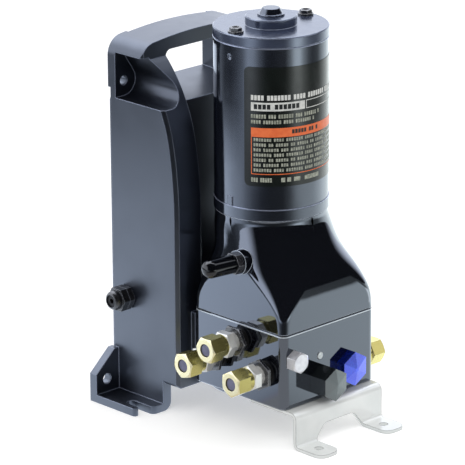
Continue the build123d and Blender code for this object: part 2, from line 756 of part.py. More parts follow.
def gear_form():
    """Spur gear blank, one tooth pointing along +X."""
    pressure = GEAR_PRESSURE_ANGLE * pi / 180
    base_r = GEAR_PITCH_R * cos(pressure)
    root_r = GEAR_PITCH_R - GEAR_MODULE * GEAR_DEDENDUM
    step = (GEAR_TIP_R - base_r) / (GEAR_FLANK_POINTS - 1)
    flank = [(root_r, involute_half_angle(base_r) * GEAR_ROOT_RELIEF)]
    radii = [base_r + step * i for i in range(GEAR_FLANK_POINTS)]
    flank += [(radius, involute_half_angle(radius)) for radius in radii]
    points = []
    for tooth in range(GEAR_TEETH):
        middle = 2 * pi * tooth / GEAR_TEETH
        points += [(r * cos(middle - a), r * sin(middle - a)) for r, a in flank]
        points += [(r * cos(middle + a), r * sin(middle + a)) for r, a in reversed(flank)]
    return extrude(make_face(Polyline(*points, close=True)), GEAR_H)


def drive_gear():
    """Driving gear, made with the pump shaft."""
    gear = Pos(0, 0, GEAR_Z) * Rot(0, 0, -90) * gear_form()
    return gear + cylinder(SHAFT_R, GEAR_Z - PUMP_STUB_L, PUMP_SHAFT_TOP_Z - GEAR_Z + PUMP_STUB_L)


def idler_gear():
    """Driven gear, turning on its fixed pin, half a tooth out of step so that it meshes."""
    gear = Pos(0, -GEAR_CENTRES, GEAR_Z) * Rot(0, 0, 90 + 180 / GEAR_TEETH) * gear_form()
    return gear - cylinder(IDLER_PIN_R + RUN_FIT, GEAR_Z, GEAR_H, 0, -GEAR_CENTRES)


def idler_pin():
    """Fixed pin of the driven gear."""
    low = GEAR_Z - END_PLAY - IDLER_PIN_SEAT
    return cylinder(IDLER_PIN_R, low, PUMP_BODY_TOP_Z + IDLER_PIN_SEAT - low, 0, -GEAR_CENTRES)


def pump_outline():
    return Pos(0, PUMP_Y) * RectangleRounded(PUMP_BODY_W, PUMP_BODY_D, PUMP_BODY_R)


def gear_pump_body():
    """Pump body with the two-lobed gear chamber."""
    body = Pos(0, 0, BLOCK_TOP_Z) * extrude(pump_outline(), PUMP_BODY_TOP_Z - BLOCK_TOP_Z)
    floor_z = GEAR_Z - END_PLAY
    for y in (0, -GEAR_CENTRES):
        body -= cylinder(CHAMBER_R, floor_z, PUMP_BODY_TOP_Z - floor_z, 0, y)
    body -= cylinder(SHAFT_R + RUN_FIT, GEAR_Z - PUMP_STUB_L - GAP, PUMP_STUB_L + GAP)
    body -= cylinder(IDLER_PIN_R, floor_z - IDLER_PIN_SEAT, IDLER_PIN_SEAT, 0, -GEAR_CENTRES)
    for x, y in pump_screw_places():
        height = PUMP_BODY_TOP_Z - BLOCK_TOP_Z
        body -= cylinder(PUMP_SCREW_R + SCREW_CLEAR, BLOCK_TOP_Z, height, x, y)
    return body


def gear_pump_cover():
    """Cover over the gears, with the shaft bore and the pin's seat."""
    body = Pos(0, 0, PUMP_BODY_TOP_Z) * extrude(pump_outline(), PUMP_COVER_T)
    body -= cylinder(SHAFT_R + RUN_FIT, PUMP_BODY_TOP_Z, PUMP_COVER_T)
    body -= cylinder(IDLER_PIN_R, PUMP_BODY_TOP_Z, IDLER_PIN_SEAT, 0, -GEAR_CENTRES)
    for x, y in pump_screw_places():
        body -= cylinder(PUMP_SCREW_R + SCREW_CLEAR, PUMP_BODY_TOP_Z, PUMP_COVER_T, x, y)
    return body


def pump_screws():
    """Cap screws through the pump into the block."""
    low = BLOCK_TOP_Z - PUMP_SCREW_GRIP
    shank = cylinder(PUMP_SCREW_R, low, PUMP_COVER_TOP_Z - low)
    one = shank + cylinder(PUMP_SCREW_HEAD_R, PUMP_COVER_TOP_Z, PUMP_SCREW_HEAD_H)
    return [Pos(x, y, 0) * one for x, y in pump_screw_places()]


def shaft_coupling():
    """Sleeve that joins the motor shaft to the pump shaft."""
    middle = (SHAFT_LOW_Z + PUMP_SHAFT_TOP_Z) / 2
    body = tube(COUPLING_R, SHAFT_R, middle - COUPLING_H / 2, COUPLING_H)
    half = COUPLING_SLIT / 2
    return body - slab(0, COUPLING_R, -half, half, middle, middle + COUPLING_H / 2)


# Motor

def motor_base_ring():
    """Drive-end bell of the motor, with the seat of the lower bearing."""
    body = cylinder(MOTOR_R + CAP_LIP, RING_Z, RING_H)
    body = chamfer(body.edges().filter_by(GeomType.CIRCLE), CAP_LIP)
    body -= cylinder(SHAFT_R + GAP, RING_Z, RING_H)
    body -= cylinder(BEARING_R, CAN_Z - BEARING_H, BEARING_H)
    for x in (-BOLT_CIRCLE_R, BOLT_CIRCLE_R):
        body -= cylinder(BOLT_R + SCREW_CLEAR, RING_Z, RING_H, x, 0)
    return body


def motor_can():
    """Steel can with a locating dimple near its top and a crimped tab at its foot, on both sides."""
    body = tube(MOTOR_R, CAN_IN_R, CAN_Z, CAN_H)
    sink = DIMPLE_R - DIMPLE_DEPTH
    dimple = Pos(-MOTOR_R - sink, 0, DIMPLE_Z) * Sphere(DIMPLE_R)
    tab = slab(-MOTOR_R - TAB_T, -MOTOR_R + TAB_T, -TAB_W / 2, TAB_W / 2, TAB_Z, TAB_Z + TAB_H)
    return body - both_sides(dimple) + both_sides(tab)


def motor_end_cap():
    """Top end cap with its round boss and the seat of the upper bearing."""
    body = cylinder(MOTOR_R + CAP_LIP, CAN_TOP_Z, END_CAP_H)
    rims = body.edges().filter_by(GeomType.CIRCLE).sort_by(Axis.Z)
    body = chamfer([rims[0], rims[-1]], CAP_EDGE)
    boss = cylinder(BOSS_R, CAP_TOP_Z, BOSS_H)
    body += chamfer(boss.edges().filter_by(GeomType.CIRCLE).sort_by(Axis.Z)[-1], CAP_EDGE)
    body -= cylinder(BEARING_R, CAN_TOP_Z, BEARING_H)
    body -= cylinder(SHAFT_R + GAP, CAN_TOP_Z, END_CAP_H + BOSS_H)
    for x in (-BOLT_CIRCLE_R, BOLT_CIRCLE_R):
        body -= cylinder(BOLT_R + SCREW_CLEAR, CAN_TOP_Z, END_CAP_H, x, 0)
    return body


def bearing_cap():
    """Small stepped cap over the end of the shaft."""
    body = cylinder(BEARING_CAP_FLANGE_R, BOSS_TOP_Z, BEARING_CAP_FLANGE_H)
    dome = frustum(BEARING_CAP_R, BEARING_CAP_TOP_R, BOSS_TOP_Z, BEARING_CAP_H)
    body += fillet(dome.edges().filter_by(GeomType.CIRCLE).sort_by(Axis.Z)[-1], CAP_EDGE)
    return body


def through_bolts():
    """Two long flanged bolts from the end cap down into the top of the pump housing."""
    shank = cylinder(BOLT_R, RING_Z - BOLT_GRIP, CAP_TOP_Z - RING_Z + BOLT_GRIP)
    flange = cylinder(BOLT_FLANGE_R, CAP_TOP_Z, BOLT_FLANGE_H)
    head = turned_hexagon(BOLT_HEX_AF, CAP_TOP_Z, BOLT_HEX_H, BOLT_HEX_EDGE)
    head -= cylinder(BOLT_DIMPLE_R, CAP_TOP_Z + BOLT_HEX_H - BOLT_DIMPLE_DEPTH, BOLT_DIMPLE_DEPTH)
    one = shank + flange + head
    return [Pos(x, 0, 0) * one for x in (-BOLT_CIRCLE_R, BOLT_CIRCLE_R)]


def motor_shaft():
    """Motor shaft through both bearings, down into the coupling."""
    shaft = cylinder(SHAFT_R, SHAFT_LOW_Z, CAP_TOP_Z + BOSS_H / 2 - SHAFT_LOW_Z)
    return chamfer(shaft.edges().filter_by(GeomType.CIRCLE), SHAFT_EDGE)


def bearing(z_low):
    """Ball bearing with its shields, drawn as one ring with a groove round each face."""
    body = tube(BEARING_R, SHAFT_R + RUN_FIT, z_low, BEARING_H)
    middle = (BEARING_R + SHAFT_R) / 2
    half = BEARING_GROOVE_W / 2
    for z in (z_low, z_low + BEARING_H - BEARING_GROOVE_DEPTH):
        body -= tube(middle + half, middle - half, z, BEARING_GROOVE_DEPTH)
    return body


def armature_slots(width, depth, z_low, height, radius):
    """Radial slots round the armature."""
    one = slab(radius - depth, radius + PAST, -width / 2, width / 2, z_low, z_low + height)
    return [Rot(0, 0, 360 * i / CORE_SLOTS) * one for i in range(CORE_SLOTS)]


def armature_core():
    """Laminated core with its winding slots."""
    body = tube(CORE_R, SHAFT_R, CORE_Z, CORE_H)
    for slot in armature_slots(CORE_SLOT_W, CORE_SLOT_D, CORE_Z, CORE_H, CORE_R):
        body -= slot
    return body


def armature_windings():
    """Copper windings: a bar in each slot and a bundle at each end of the core."""
    def bundle(z_low):
        ring = tube(WINDING_R, WINDING_IN_R, z_low, WINDING_H)
        rims = ring.edges().filter_by(GeomType.CIRCLE)
        outer = rims.filter_by(lambda e: e.radius > WINDING_IN_R + WINDING_EDGE)
        return fillet(outer, WINDING_EDGE)
    body = bundle(CORE_Z - WINDING_H) + bundle(CORE_Z + CORE_H)
    bar_r = WINDING_R - WINDING_EDGE
    depth = bar_r - (CORE_R - CORE_SLOT_D) - SEAT
    low = CORE_Z - PAST
    height = CORE_H + 2 * PAST
    for slot in armature_slots(CORE_SLOT_W - 2 * SEAT, depth, low, height, bar_r):
        body += slot & cylinder(bar_r, low, height)
    return body


def commutator():
    """Segmented commutator above the windings."""
    low = CORE_Z + CORE_H + WINDING_H + END_PLAY
    body = tube(COMMUTATOR_R, SHAFT_R, low, COMMUTATOR_H)
    for slot in armature_slots(COMMUTATOR_CUT, COMMUTATOR_CUT_D, low, COMMUTATOR_H, COMMUTATOR_R):
        body -= slot
    return body


def brush_box(side, grow, z_low, z_high):
    """Radial box at a brush's place, side +1 towards +Y and -1 towards -Y."""
    near = COMMUTATOR_R + GAP
    y0, y1 = sorted((side * near, side * (near + BRUSH_L)))
    half = BRUSH_W / 2 + grow
    return slab(-half, half, y0, y1, z_low, z_high)


def brush_span():
    low = CORE_Z + CORE_H + WINDING_H + END_PLAY + (COMMUTATOR_H - BRUSH_H) / 2
    return low, low + BRUSH_H


def carbon_brushes():
    """Two carbon brushes that face the commutator."""
    return [brush_box(side, 0, *brush_span()) for side in (-1, 1)]


def brush_plate():
    """Plate under the end cap that holds the brush guides."""
    low, high = brush_span()
    plate = tube(CAN_IN_R - GAP, BRUSH_PLATE_IN_R, CAN_TOP_Z - BRUSH_PLATE_T, BRUSH_PLATE_T)
    for side in (-1, 1):
        guide_top = CAN_TOP_Z - BRUSH_PLATE_T + PAST
        guide = brush_box(side, BRUSH_GUIDE_WALL, low - BRUSH_GUIDE_WALL, guide_top)
        guide -= cylinder(BRUSH_PLATE_IN_R, low - BRUSH_GUIDE_WALL, CAN_H)
        plate += guide
    for side in (-1, 1):
        plate -= brush_box(side, 0, low, high)
    for x in (-BOLT_CIRCLE_R, BOLT_CIRCLE_R):
        plate -= cylinder(BOLT_R + SCREW_CLEAR, CAN_TOP_Z - BRUSH_PLATE_T, BRUSH_PLATE_T, x, 0)
    return plate


def field_magnets():
    """Two magnet shells bonded inside the can, clear of the through bolts."""
    low = CORE_Z + (CORE_H - MAGNET_H) / 2
    return [arc_ring(MAGNET_IN_R, CAN_IN_R, low, MAGNET_H, angle, MAGNET_SPAN) for angle in (90, 270)]


def motor_label():
    """Printed panel wrapped round the front of the can."""
    middle = LABEL_START + LABEL_SPAN / 2
    low_r = MOTOR_R + SEAT
    panel = arc_ring(low_r, low_r + LABEL_T, LABEL_Z, LABEL_H, middle, LABEL_SPAN)
    corners = [e for e in panel.edges() if abs(e.length - LABEL_T) < 0.01]
    return fillet(corners, LABEL_CORNER_R)


# Support bracket and bottom cover

def corner_at(face, y, z):
    """Corner of an outline at a known place."""
    return [v for v in face.vertices() if abs(v.X - y) < 0.01 and abs(v.Y - z) < 0.01]


def support_bracket():
    """Bent sheet: a tongue under the block, a front drop with an arch and two feet."""
    t = BRACKET_T
    y0 = BRACKET_FRONT_Y
    top = BLOCK_Z
    tongue_y = BLOCK_FRONT_Y + BRACKET_TONGUE_L
    foot_y = y0 - BRACKET_FOOT_L + t
    points = [(tongue_y, top), (y0, top), (y0, t), (foot_y, t)]
    points += [(foot_y, 0), (y0 + t, 0), (y0 + t, top - t), (tongue_y, top - t)]
    outline = make_face(Polyline(*points, close=True))
    outline = fillet(corner_at(outline, y0, top) + corner_at(outline, y0 + t, 0), BRACKET_BEND_R)
    outline = fillet(corner_at(outline, y0, t) + corner_at(outline, y0 + t, top - t), BRACKET_BEND_R - t)
    sheet = along_x(outline, -BRACKET_W / 2, BRACKET_W / 2)
    low_x = BRACKET_W / 2 - BRACKET_FOOT_W
    high_x = BRACKET_ARCH_TOP_W / 2
    high_z = BRACKET_ARCH_H
    left = [(-low_x, -PAST), (-low_x, t), (-high_x, high_z)]
    right = [(high_x, high_z), (low_x, t), (low_x, -PAST)]
    arch = make_face(Polyline(*left, *right, close=True))
    arch = fillet(corner_at(arch, -high_x, high_z) + corner_at(arch, high_x, high_z), BRACKET_ARCH_R)
    sheet -= along_y(arch, foot_y - PAST, y0 + t + BRACKET_BEND_R)
    tips = [e for e in sheet.edges().filter_by(Axis.Z) if abs(e.center().Y - foot_y) < 0.01]
    sheet = fillet(tips, BRACKET_FOOT_R)
    for x in (-BRACKET_HOLE_X, BRACKET_HOLE_X):
        sheet -= cylinder(BRACKET_HOLE_R, 0, t, x, foot_y + BRACKET_HOLE_IN)
    for x in (-BRACKET_SCREW_X, BRACKET_SCREW_X):
        sheet -= cylinder(BRACKET_SCREW_R + SCREW_CLEAR, top - t, t, x, BRACKET_SCREW_Y)
    return sheet


def bracket_screws():
    """Screws that hold the bracket under the block."""
    head_top = BLOCK_Z - BRACKET_T
    one = cylinder(BRACKET_SCREW_R, head_top, BRACKET_T + BRACKET_SCREW_L)
    head_low = head_top - BRACKET_SCREW_HEAD_H
    one += cylinder(BRACKET_SCREW_HEAD_R, head_low, BRACKET_SCREW_HEAD_H)
    depth = BRACKET_SCREW_HEAD_H / 2
    one -= socket(BRACKET_KEY_AF, head_low + depth, depth)
    return [Pos(x, BRACKET_SCREW_Y, 0) * one for x in (-BRACKET_SCREW_X, BRACKET_SCREW_X)]


def bottom_cover():
    """Round cover under the back of the block."""
    body = cylinder(COVER_R, BLOCK_Z - COVER_H, COVER_H, 0, COVER_Y)
    body = chamfer(body.edges().filter_by(GeomType.CIRCLE).sort_by(Axis.Z)[0], COVER_EDGE)
    for x in (-COVER_SCREW_X, COVER_SCREW_X):
        body -= cylinder(COVER_SCREW_R + SCREW_CLEAR, BLOCK_Z - COVER_H, COVER_H, x, COVER_SCREW_Y)
    return body


def cover_screws():
    """Screws that hold the round cover."""
    low = BLOCK_Z - COVER_H
    one = cylinder(COVER_SCREW_R, low, COVER_H + COVER_SCREW_L)
    one += cylinder(COVER_SCREW_HEAD_R, low - COVER_SCREW_HEAD_H, COVER_SCREW_HEAD_H)
    return [Pos(x, COVER_SCREW_Y, 0) * one for x in (-COVER_SCREW_X, COVER_SCREW_X)]


# Electronics case

def case_side_outline():
    """Outline from the side, in y and z, with the front swept back towards the handle."""
    rise = Line((CHEEK_FRONT_Y, CASE_BOTTOM_Z), (CHEEK_FRONT_Y, SWEEP_Z))
    low = JernArc(rise @ 1, rise % 1, SWEEP_LOW_R, -SWEEP_LOW_ANGLE)
    high = JernArc(low @ 1, low % 1, SWEEP_HIGH_R, -SWEEP_HIGH_ANGLE)
    end = high @ 1
    top = CASE_TOP_Z + CASE_CROWN
    bevel_z = end.Y + HANDLE_FRONT_Y - end.X
    front = [(end.X, end.Y), (HANDLE_FRONT_Y, bevel_z), (HANDLE_FRONT_Y, top)]
    rest = Polyline(*front, (CASE_BACK_Y, top), (CASE_BACK_Y, CASE_BOTTOM_Z), (CHEEK_FRONT_Y, CASE_BOTTOM_Z))
    return make_face(rise + low + high + rest)


def case_front_outline():
    """Outline from the front, in x and z, with a crowned top and round shoulders."""
    w = CASE_HALF_W
    side_top = CASE_TOP_Z - CASE_CROWN
    sides = Polyline((-w, side_top), (-w, CASE_BOTTOM_Z), (w, CASE_BOTTOM_Z), (w, side_top))
    crown = ThreePointArc((-w, side_top), (0, CASE_TOP_Z), (w, side_top))
    outline = make_face(sides + crown)
    return fillet(corner_at(outline, -w, side_top) + corner_at(outline, w, side_top), CASE_SHOULDER_R)


def grip_opening():
    """Space under the handle, with a floor that rises towards the back."""
    x = CHEEK_INNER_X
    top = CASE_TOP_Z - HANDLE_H
    low = GRIP_FLOOR_Z - GRIP_CUT_DEPTH
    outline = make_face(Polyline((-x, low), (x, low), (x, top), (-x, top), close=True))
    outline = fillet(corner_at(outline, -x, top) + corner_at(outline, x, top), GRIP_CORNER_R)
    space = along_y(outline, CHEEK_FRONT_Y, LUG_BACK_Y + PAST)
    back_z = GRIP_FLOOR_Z + GRIP_FLOOR_RISE
    corners = [(RECESS_Y, 0), (RECESS_Y, GRIP_FLOOR_Z), (CASE_BACK_Y, back_z), (CASE_BACK_Y, 0)]
    return space - along_x(make_face(Polyline(*corners, close=True)), -x, x)


def pocket():
    """Screwdriver channel at the left shoulder: a round trough that opens to the side."""
    slope = POCKET_SLOPE * pi / 180
    touch = (-POCKET_X + POCKET_R * cos(slope), POCKET_Z + POCKET_R * sin(slope))
    top_x = touch[0] - (POCKET_TOP_Z - touch[1]) * tan(slope)
    outside = -2 * CASE_HALF_W
    low = POCKET_Z - POCKET_R
    lines = Polyline(touch, (top_x, POCKET_TOP_Z), (outside, POCKET_TOP_Z), (outside, low), (-POCKET_X, low))
    round_part = ThreePointArc((-POCKET_X, low), (-POCKET_X + POCKET_R, POCKET_Z), touch)
    return along_y(make_face(lines + round_part), CHEEK_FRONT_Y - PAST, POCKET_BACK_Y)


def rear_lug():
    """Raised pad behind the left pocket that bears on the bulkhead, round like the shoulder."""
    pad = slab(-CASE_HALF_W, -LUG_INNER_X, CASE_BACK_Y, LUG_BACK_Y, LUG_LOW_Z, CASE_TOP_Z)
    return pad & along_y(case_front_outline(), CASE_BACK_Y, LUG_BACK_Y)


def foot():
    """Left foot: a web down to the floor, a flange with an open slot and an upright ear."""
    x = CASE_HALF_W
    web_x = x - WEB_T
    web_top = CASE_BOTTOM_Z + WEB_OVERLAP
    web = make_face(Polyline((-x, web_top), (-web_x, web_top), (-web_x, 0), (-x, 0), close=True))
    web = fillet(corner_at(web, -web_x, 0), WEB_CORNER_R)
    body = along_y(web, LOBE_FRONT_Y, CASE_BACK_Y) + extrude(foot_outline(), FLANGE_T)
    points = [(-x, 0), (-EAR_OUT_X, 0), (-EAR_OUT_X, EAR_SHOULDER_Z)]
    points += [(-EAR_SHOULDER_X, EAR_TOP_Z), (-x, EAR_TOP_Z)]
    body += along_y(make_face(Polyline(*points, close=True)), LUG_BACK_Y - EAR_T, LUG_BACK_Y)
    return body - back_face(-EAR_HOLE_X, EAR_HOLE_Z, LUG_BACK_Y) * cylinder(EAR_HOLE_R, -EAR_T, EAR_T)


def foot_outline():
    """Flange seen from above, with an open slot between its lobe and its prong."""
    x = CASE_HALF_W
    lobe_x = SLOT_X - SLOT_W / 2
    prong_x = SLOT_X + SLOT_W / 2
    points = [(-x, CASE_BACK_Y), (-EAR_OUT_X, CASE_BACK_Y), (-EAR_OUT_X, FLANGE_FRONT_Y)]
    points += [(-prong_x, FLANGE_FRONT_Y), (-prong_x, SLOT_END_Y), (-lobe_x, SLOT_END_Y)]
    points += [(-lobe_x, LOBE_FRONT_Y), (-x, LOBE_FRONT_Y)]
    plate = make_face(Polyline(*points, close=True))
    tip = corner_at(plate, -EAR_OUT_X, FLANGE_FRONT_Y) + corner_at(plate, -prong_x, FLANGE_FRONT_Y)
    plate = fillet(tip, (EAR_OUT_X - prong_x) / 2 - NUDGE)
    end = corner_at(plate, -prong_x, SLOT_END_Y) + corner_at(plate, -lobe_x, SLOT_END_Y)
    plate = fillet(end, SLOT_W / 2 - NUDGE)
    return fillet(corner_at(plate, -lobe_x, LOBE_FRONT_Y), LOBE_R)


def rear_screw_places():
    """x and z of the rear cover's screws, up both sides."""
    x = CASE_HALF_W - CASE_WALL - REAR_SCREW_INSET
    low = CASE_BOTTOM_Z + CASE_WALL + REAR_SCREW_INSET
    high = CAVITY_TOP_Z - REAR_SCREW_INSET
    step = (high - low) / (REAR_SCREW_ROWS - 1)
    return [(side * x, low + step * i) for side in (-1, 1) for i in range(REAR_SCREW_ROWS)]


def standoff_places():
    x = BOARD_W / 2 - STANDOFF_INSET
    heights = (BOARD_Z + STANDOFF_INSET, BOARD_Z + BOARD_H - STANDOFF_INSET)
    return [(side * x, z) for side in (-1, 1) for z in heights]


def case_cavity():
    """Room for the electronics, open to the back, round the posts for the board and the cover."""
    x = CASE_HALF_W - CASE_WALL
    low = CASE_BOTTOM_Z + CASE_WALL
    middle = (low + CAVITY_TOP_Z) / 2
    outline = Pos(0, middle) * RectangleRounded(2 * x, CAVITY_TOP_Z - low, CAVITY_CORNER_R)
    room = along_y(outline, CAVITY_FRONT_Y, CASE_BACK_Y)
    for px, pz in standoff_places():
        room -= back_face(px, pz, CAVITY_FRONT_Y) * cylinder(STANDOFF_R, 0, BOARD_Y - CAVITY_FRONT_Y)
    for px, pz in rear_screw_places():
        post = cylinder(REAR_SCREW_POST_R, -REAR_SCREW_POST_L, REAR_SCREW_POST_L)
        room -= back_face(px, pz, CASE_BACK_Y) * post
    return room


def electronics_case():
    """The casting: body, cheeks, handle, shoulder pockets, lugs, feet and pads for the block."""
    body = along_x(case_side_outline(), -CASE_HALF_W, CASE_HALF_W)
    front = [e for e in body.edges() if abs(e.center().X) > PAST and e.center().Y < HANDLE_FRONT_Y + PAST]
    body = chamfer(front, CASE_EDGE) & along_y(case_front_outline(), 0, CASE_BACK_Y)
    body -= slab(-CHEEK_INNER_X, CHEEK_INNER_X, 0, RECESS_Y, 0, CASE_TOP_Z)
    body -= grip_opening()
    body -= both_sides(pocket())
    body += both_sides(rear_lug() + foot())
    pad_z = (BLOCK_Z + PAD_INSET_Z, BLOCK_TOP_Z - PAD_INSET_Z)
    body += both_sides(slab(PAD_X, PAD_X + PAD_W, BLOCK_BACK_Y, CHEEK_FRONT_Y, *pad_z))
    body -= case_cavity()
    depth = CAVITY_FRONT_Y - BLOCK_BACK_Y
    for x, z in block_screw_places():
        body -= back_face(x, z, CAVITY_FRONT_Y) * cylinder(BLOCK_SCREW_R + SCREW_CLEAR, -depth, depth)
    lug_t = LUG_BACK_Y - POCKET_BACK_Y
    for x in (-POCKET_X, POCKET_X):
        body -= back_face(x, POCKET_Z, LUG_BACK_Y) * cylinder(LUG_HOLE_R, -lug_t, lug_t)
    for x, z in standoff_places():
        body -= back_face(x, z, BOARD_Y) * cylinder(BOARD_SCREW_R + SEAT, -BOARD_SCREW_L, BOARD_SCREW_L)
    for x, z in rear_screw_places():
        body -= back_face(x, z, CASE_BACK_Y) * cylinder(REAR_SCREW_R + SEAT, -REAR_SCREW_L, REAR_SCREW_L)
    body -= gland_place() * cylinder(GLAND_THREAD_R + SEAT, -CASE_WALL - PAST, CASE_WALL + PAST)
    return body


def block_screws():
    """Cap screws inside the case that hold the block against its pads."""
    length = BLOCK_SCREW_GRIP + CAVITY_FRONT_Y - BLOCK_BACK_Y
    one = cylinder(BLOCK_SCREW_R, -length, length) + cylinder(BLOCK_SCREW_HEAD_R, 0, BLOCK_SCREW_HEAD_H)
    one -= socket(HEX_KEY_AF, BLOCK_SCREW_HEAD_H, BLOCK_SCREW_HEAD_H / 2)
    return [back_face(x, z, CAVITY_FRONT_Y) * one for x, z in block_screw_places()]


# Rear cover and electronics

def rear_outline(margin):
    low = CASE_BOTTOM_Z + margin
    high = CAVITY_TOP_Z + CASE_WALL
    half = CASE_HALF_W - margin
    return Pos(0, (low + high) / 2) * RectangleRounded(2 * half, high - low, CAVITY_CORNER_R)


def rear_gasket():
    """Sealing frame between the case and its rear cover."""
    x = CASE_HALF_W - CASE_WALL
    low = CASE_BOTTOM_Z + CASE_WALL
    hole = Pos(0, (low + CAVITY_TOP_Z) / 2) * RectangleRounded(2 * x, CAVITY_TOP_Z - low, CAVITY_CORNER_R)
    frame = along_y(rear_outline(REAR_COVER_MARGIN) - hole, CASE_BACK_Y, CASE_BACK_Y + GASKET_T)
    for px, pz in rear_screw_places():
        frame += back_face(px, pz, CASE_BACK_Y) * cylinder(REAR_SCREW_POST_R, 0, GASKET_T)
    for px, pz in rear_screw_places():
        frame -= back_face(px, pz, CASE_BACK_Y) * cylinder(REAR_SCREW_R + SCREW_CLEAR, 0, GASKET_T)
    return frame


def rear_cover():
    """Flat cover over the back of the case, flush with the bulkhead lugs."""
    low_y = CASE_BACK_Y + GASKET_T
    plate = along_y(rear_outline(REAR_COVER_MARGIN), low_y, low_y + REAR_COVER_T)
    for px, pz in rear_screw_places():
        place = back_face(px, pz, low_y)
        plate -= place * cylinder(REAR_SCREW_R + SCREW_CLEAR, 0, REAR_COVER_T)
        sink = frustum(REAR_SCREW_R + SCREW_CLEAR, REAR_SCREW_HEAD_R + SCREW_CLEAR, 0, REAR_COVER_T)
        plate -= place * sink
    return plate


def rear_screws():
    """Countersunk screws of the rear cover."""
    low = -REAR_SCREW_L - GASKET_T + GAP
    one = cylinder(REAR_SCREW_R, low, -low) + frustum(REAR_SCREW_R, REAR_SCREW_HEAD_R, 0, REAR_COVER_T)
    return [back_face(px, pz, CASE_BACK_Y + GASKET_T) * one for px, pz in rear_screw_places()]


def control_board():
    """Circuit board that drives the motor."""
    outline = Pos(0, BOARD_Z + BOARD_H / 2) * RectangleRounded(BOARD_W, BOARD_H, BOARD_CORNER_R)
    plate = along_y(outline, BOARD_Y, BOARD_Y + BOARD_T)
    for x, z in standoff_places():
        plate -= back_face(x, z, BOARD_Y) * cylinder(BOARD_SCREW_R + SCREW_CLEAR, 0, BOARD_T)
    return plate


def board_screws():
    one = cylinder(BOARD_SCREW_R, -BOARD_SCREW_L + GAP, BOARD_SCREW_L - GAP + BOARD_T)
    one += cylinder(BOARD_SCREW_HEAD_R, BOARD_T, BOARD_SCREW_HEAD_H)
    return [back_face(x, z, BOARD_Y) * one for x, z in standoff_places()]


def power_transistors():
    """Row of power transistors along the board."""
    half = TRANSISTOR_W / 2
    y0 = BOARD_Y + BOARD_T
    one = slab(-half, half, y0, y0 + TRANSISTOR_T, TRANSISTOR_Z, TRANSISTOR_Z + TRANSISTOR_H)
    start = -(TRANSISTORS - 1) / 2 * TRANSISTOR_PITCH
    return [Pos(start + i * TRANSISTOR_PITCH, 0, 0) * one for i in range(TRANSISTORS)]


def filter_capacitors():
    """Round capacitors on the front of the board."""
    can = front_face(0, CAPACITOR_Z, BOARD_Y) * cylinder(CAPACITOR_R, 0, CAPACITOR_H)
    start = -(CAPACITORS - 1) / 2 * CAPACITOR_PITCH
    return [Pos(start + i * CAPACITOR_PITCH, 0, 0) * can for i in range(CAPACITORS)]


def terminal_block():
    """Terminals for the supply leads, level with the gland."""
    half = TERMINAL_W / 2
    low_y = BOARD_Y + BOARD_T
    high_y = low_y + TERMINAL_D
    body = slab(-half, half, low_y, high_y, GLAND_Z - TERMINAL_H / 2, GLAND_Z + TERMINAL_H / 2)
    pitch = TERMINAL_W / TERMINALS
    hole = cylinder(TERMINAL_HOLE_R, -TERMINAL_HOLE_DEPTH, TERMINAL_HOLE_DEPTH)
    for i in range(TERMINALS):
        body -= back_face(-half + (i + 0.5) * pitch, GLAND_Z, high_y) * hole
    return body


# Cable gland

def gland_place():
    return left_face(GLAND_Y, GLAND_Z, -CASE_HALF_W)


def gland_body():
    """Gland body: inner thread, neck, hexagon and the outer thread for the dome nut."""
    inside = CASE_WALL + GLAND_INSIDE_L
    start = GLAND_NECK_L + GLAND_HEX_L
    body = cylinder(GLAND_THREAD_R, -inside, inside + start + GLAND_SPIGOT_L)
    body += cylinder(GLAND_NECK_R, 0, GLAND_NECK_L) + hexagon(GLAND_HEX_AF, GLAND_NECK_L, GLAND_HEX_L)
    body -= cylinder(GLAND_BORE_R, -inside, inside + start + GLAND_SPIGOT_L)
    return gland_place() * body


def gland_nut():
    """Dome nut that squeezes the seal."""
    start = GLAND_NECK_L + GLAND_HEX_L + GAP
    body = hexagon(GLAND_HEX_AF, start, GLAND_NUT_HEX_L)
    dome = cylinder(GLAND_DOME_R, start, GLAND_NUT_HEX_L + GLAND_DOME_L)
    dome = fillet(dome.edges().filter_by(GeomType.CIRCLE).sort_by(Axis.Z)[-1], GLAND_DOME_ROUND)
    body += dome
    body -= cylinder(GLAND_THREAD_R + SEAT, start, GLAND_SPIGOT_L + GLAND_SEAL_L)
    body -= cylinder(GLAND_MOUTH_R, start, GLAND_NUT_HEX_L + GLAND_DOME_L)
    return gland_place() * body


def gland_seal():
    """Rubber seal inside the dome nut."""
    start = GLAND_NECK_L + GLAND_HEX_L + GLAND_SPIGOT_L
    body = tube(GLAND_THREAD_R - SEAT, GLAND_SEAL_HOLE_R, start, GLAND_SEAL_L)
    body += tube(GLAND_MOUTH_R - SEAT, GLAND_SEAL_HOLE_R, start + GLAND_SEAL_L, GLAND_SEAL_NOSE_L)
    return gland_place() * body


def gland_locknut():
    """Nut on the inside of the case wall."""
    ring = hexagon(GLAND_HEX_AF, 0, GLAND_LOCKNUT_L) - cylinder(GLAND_THREAD_R + SEAT, 0, GLAND_LOCKNUT_L)
    return gland_place() * (Pos(0, 0, -CASE_WALL - GLAND_LOCKNUT_L) * ring)


# Every piece, by node name

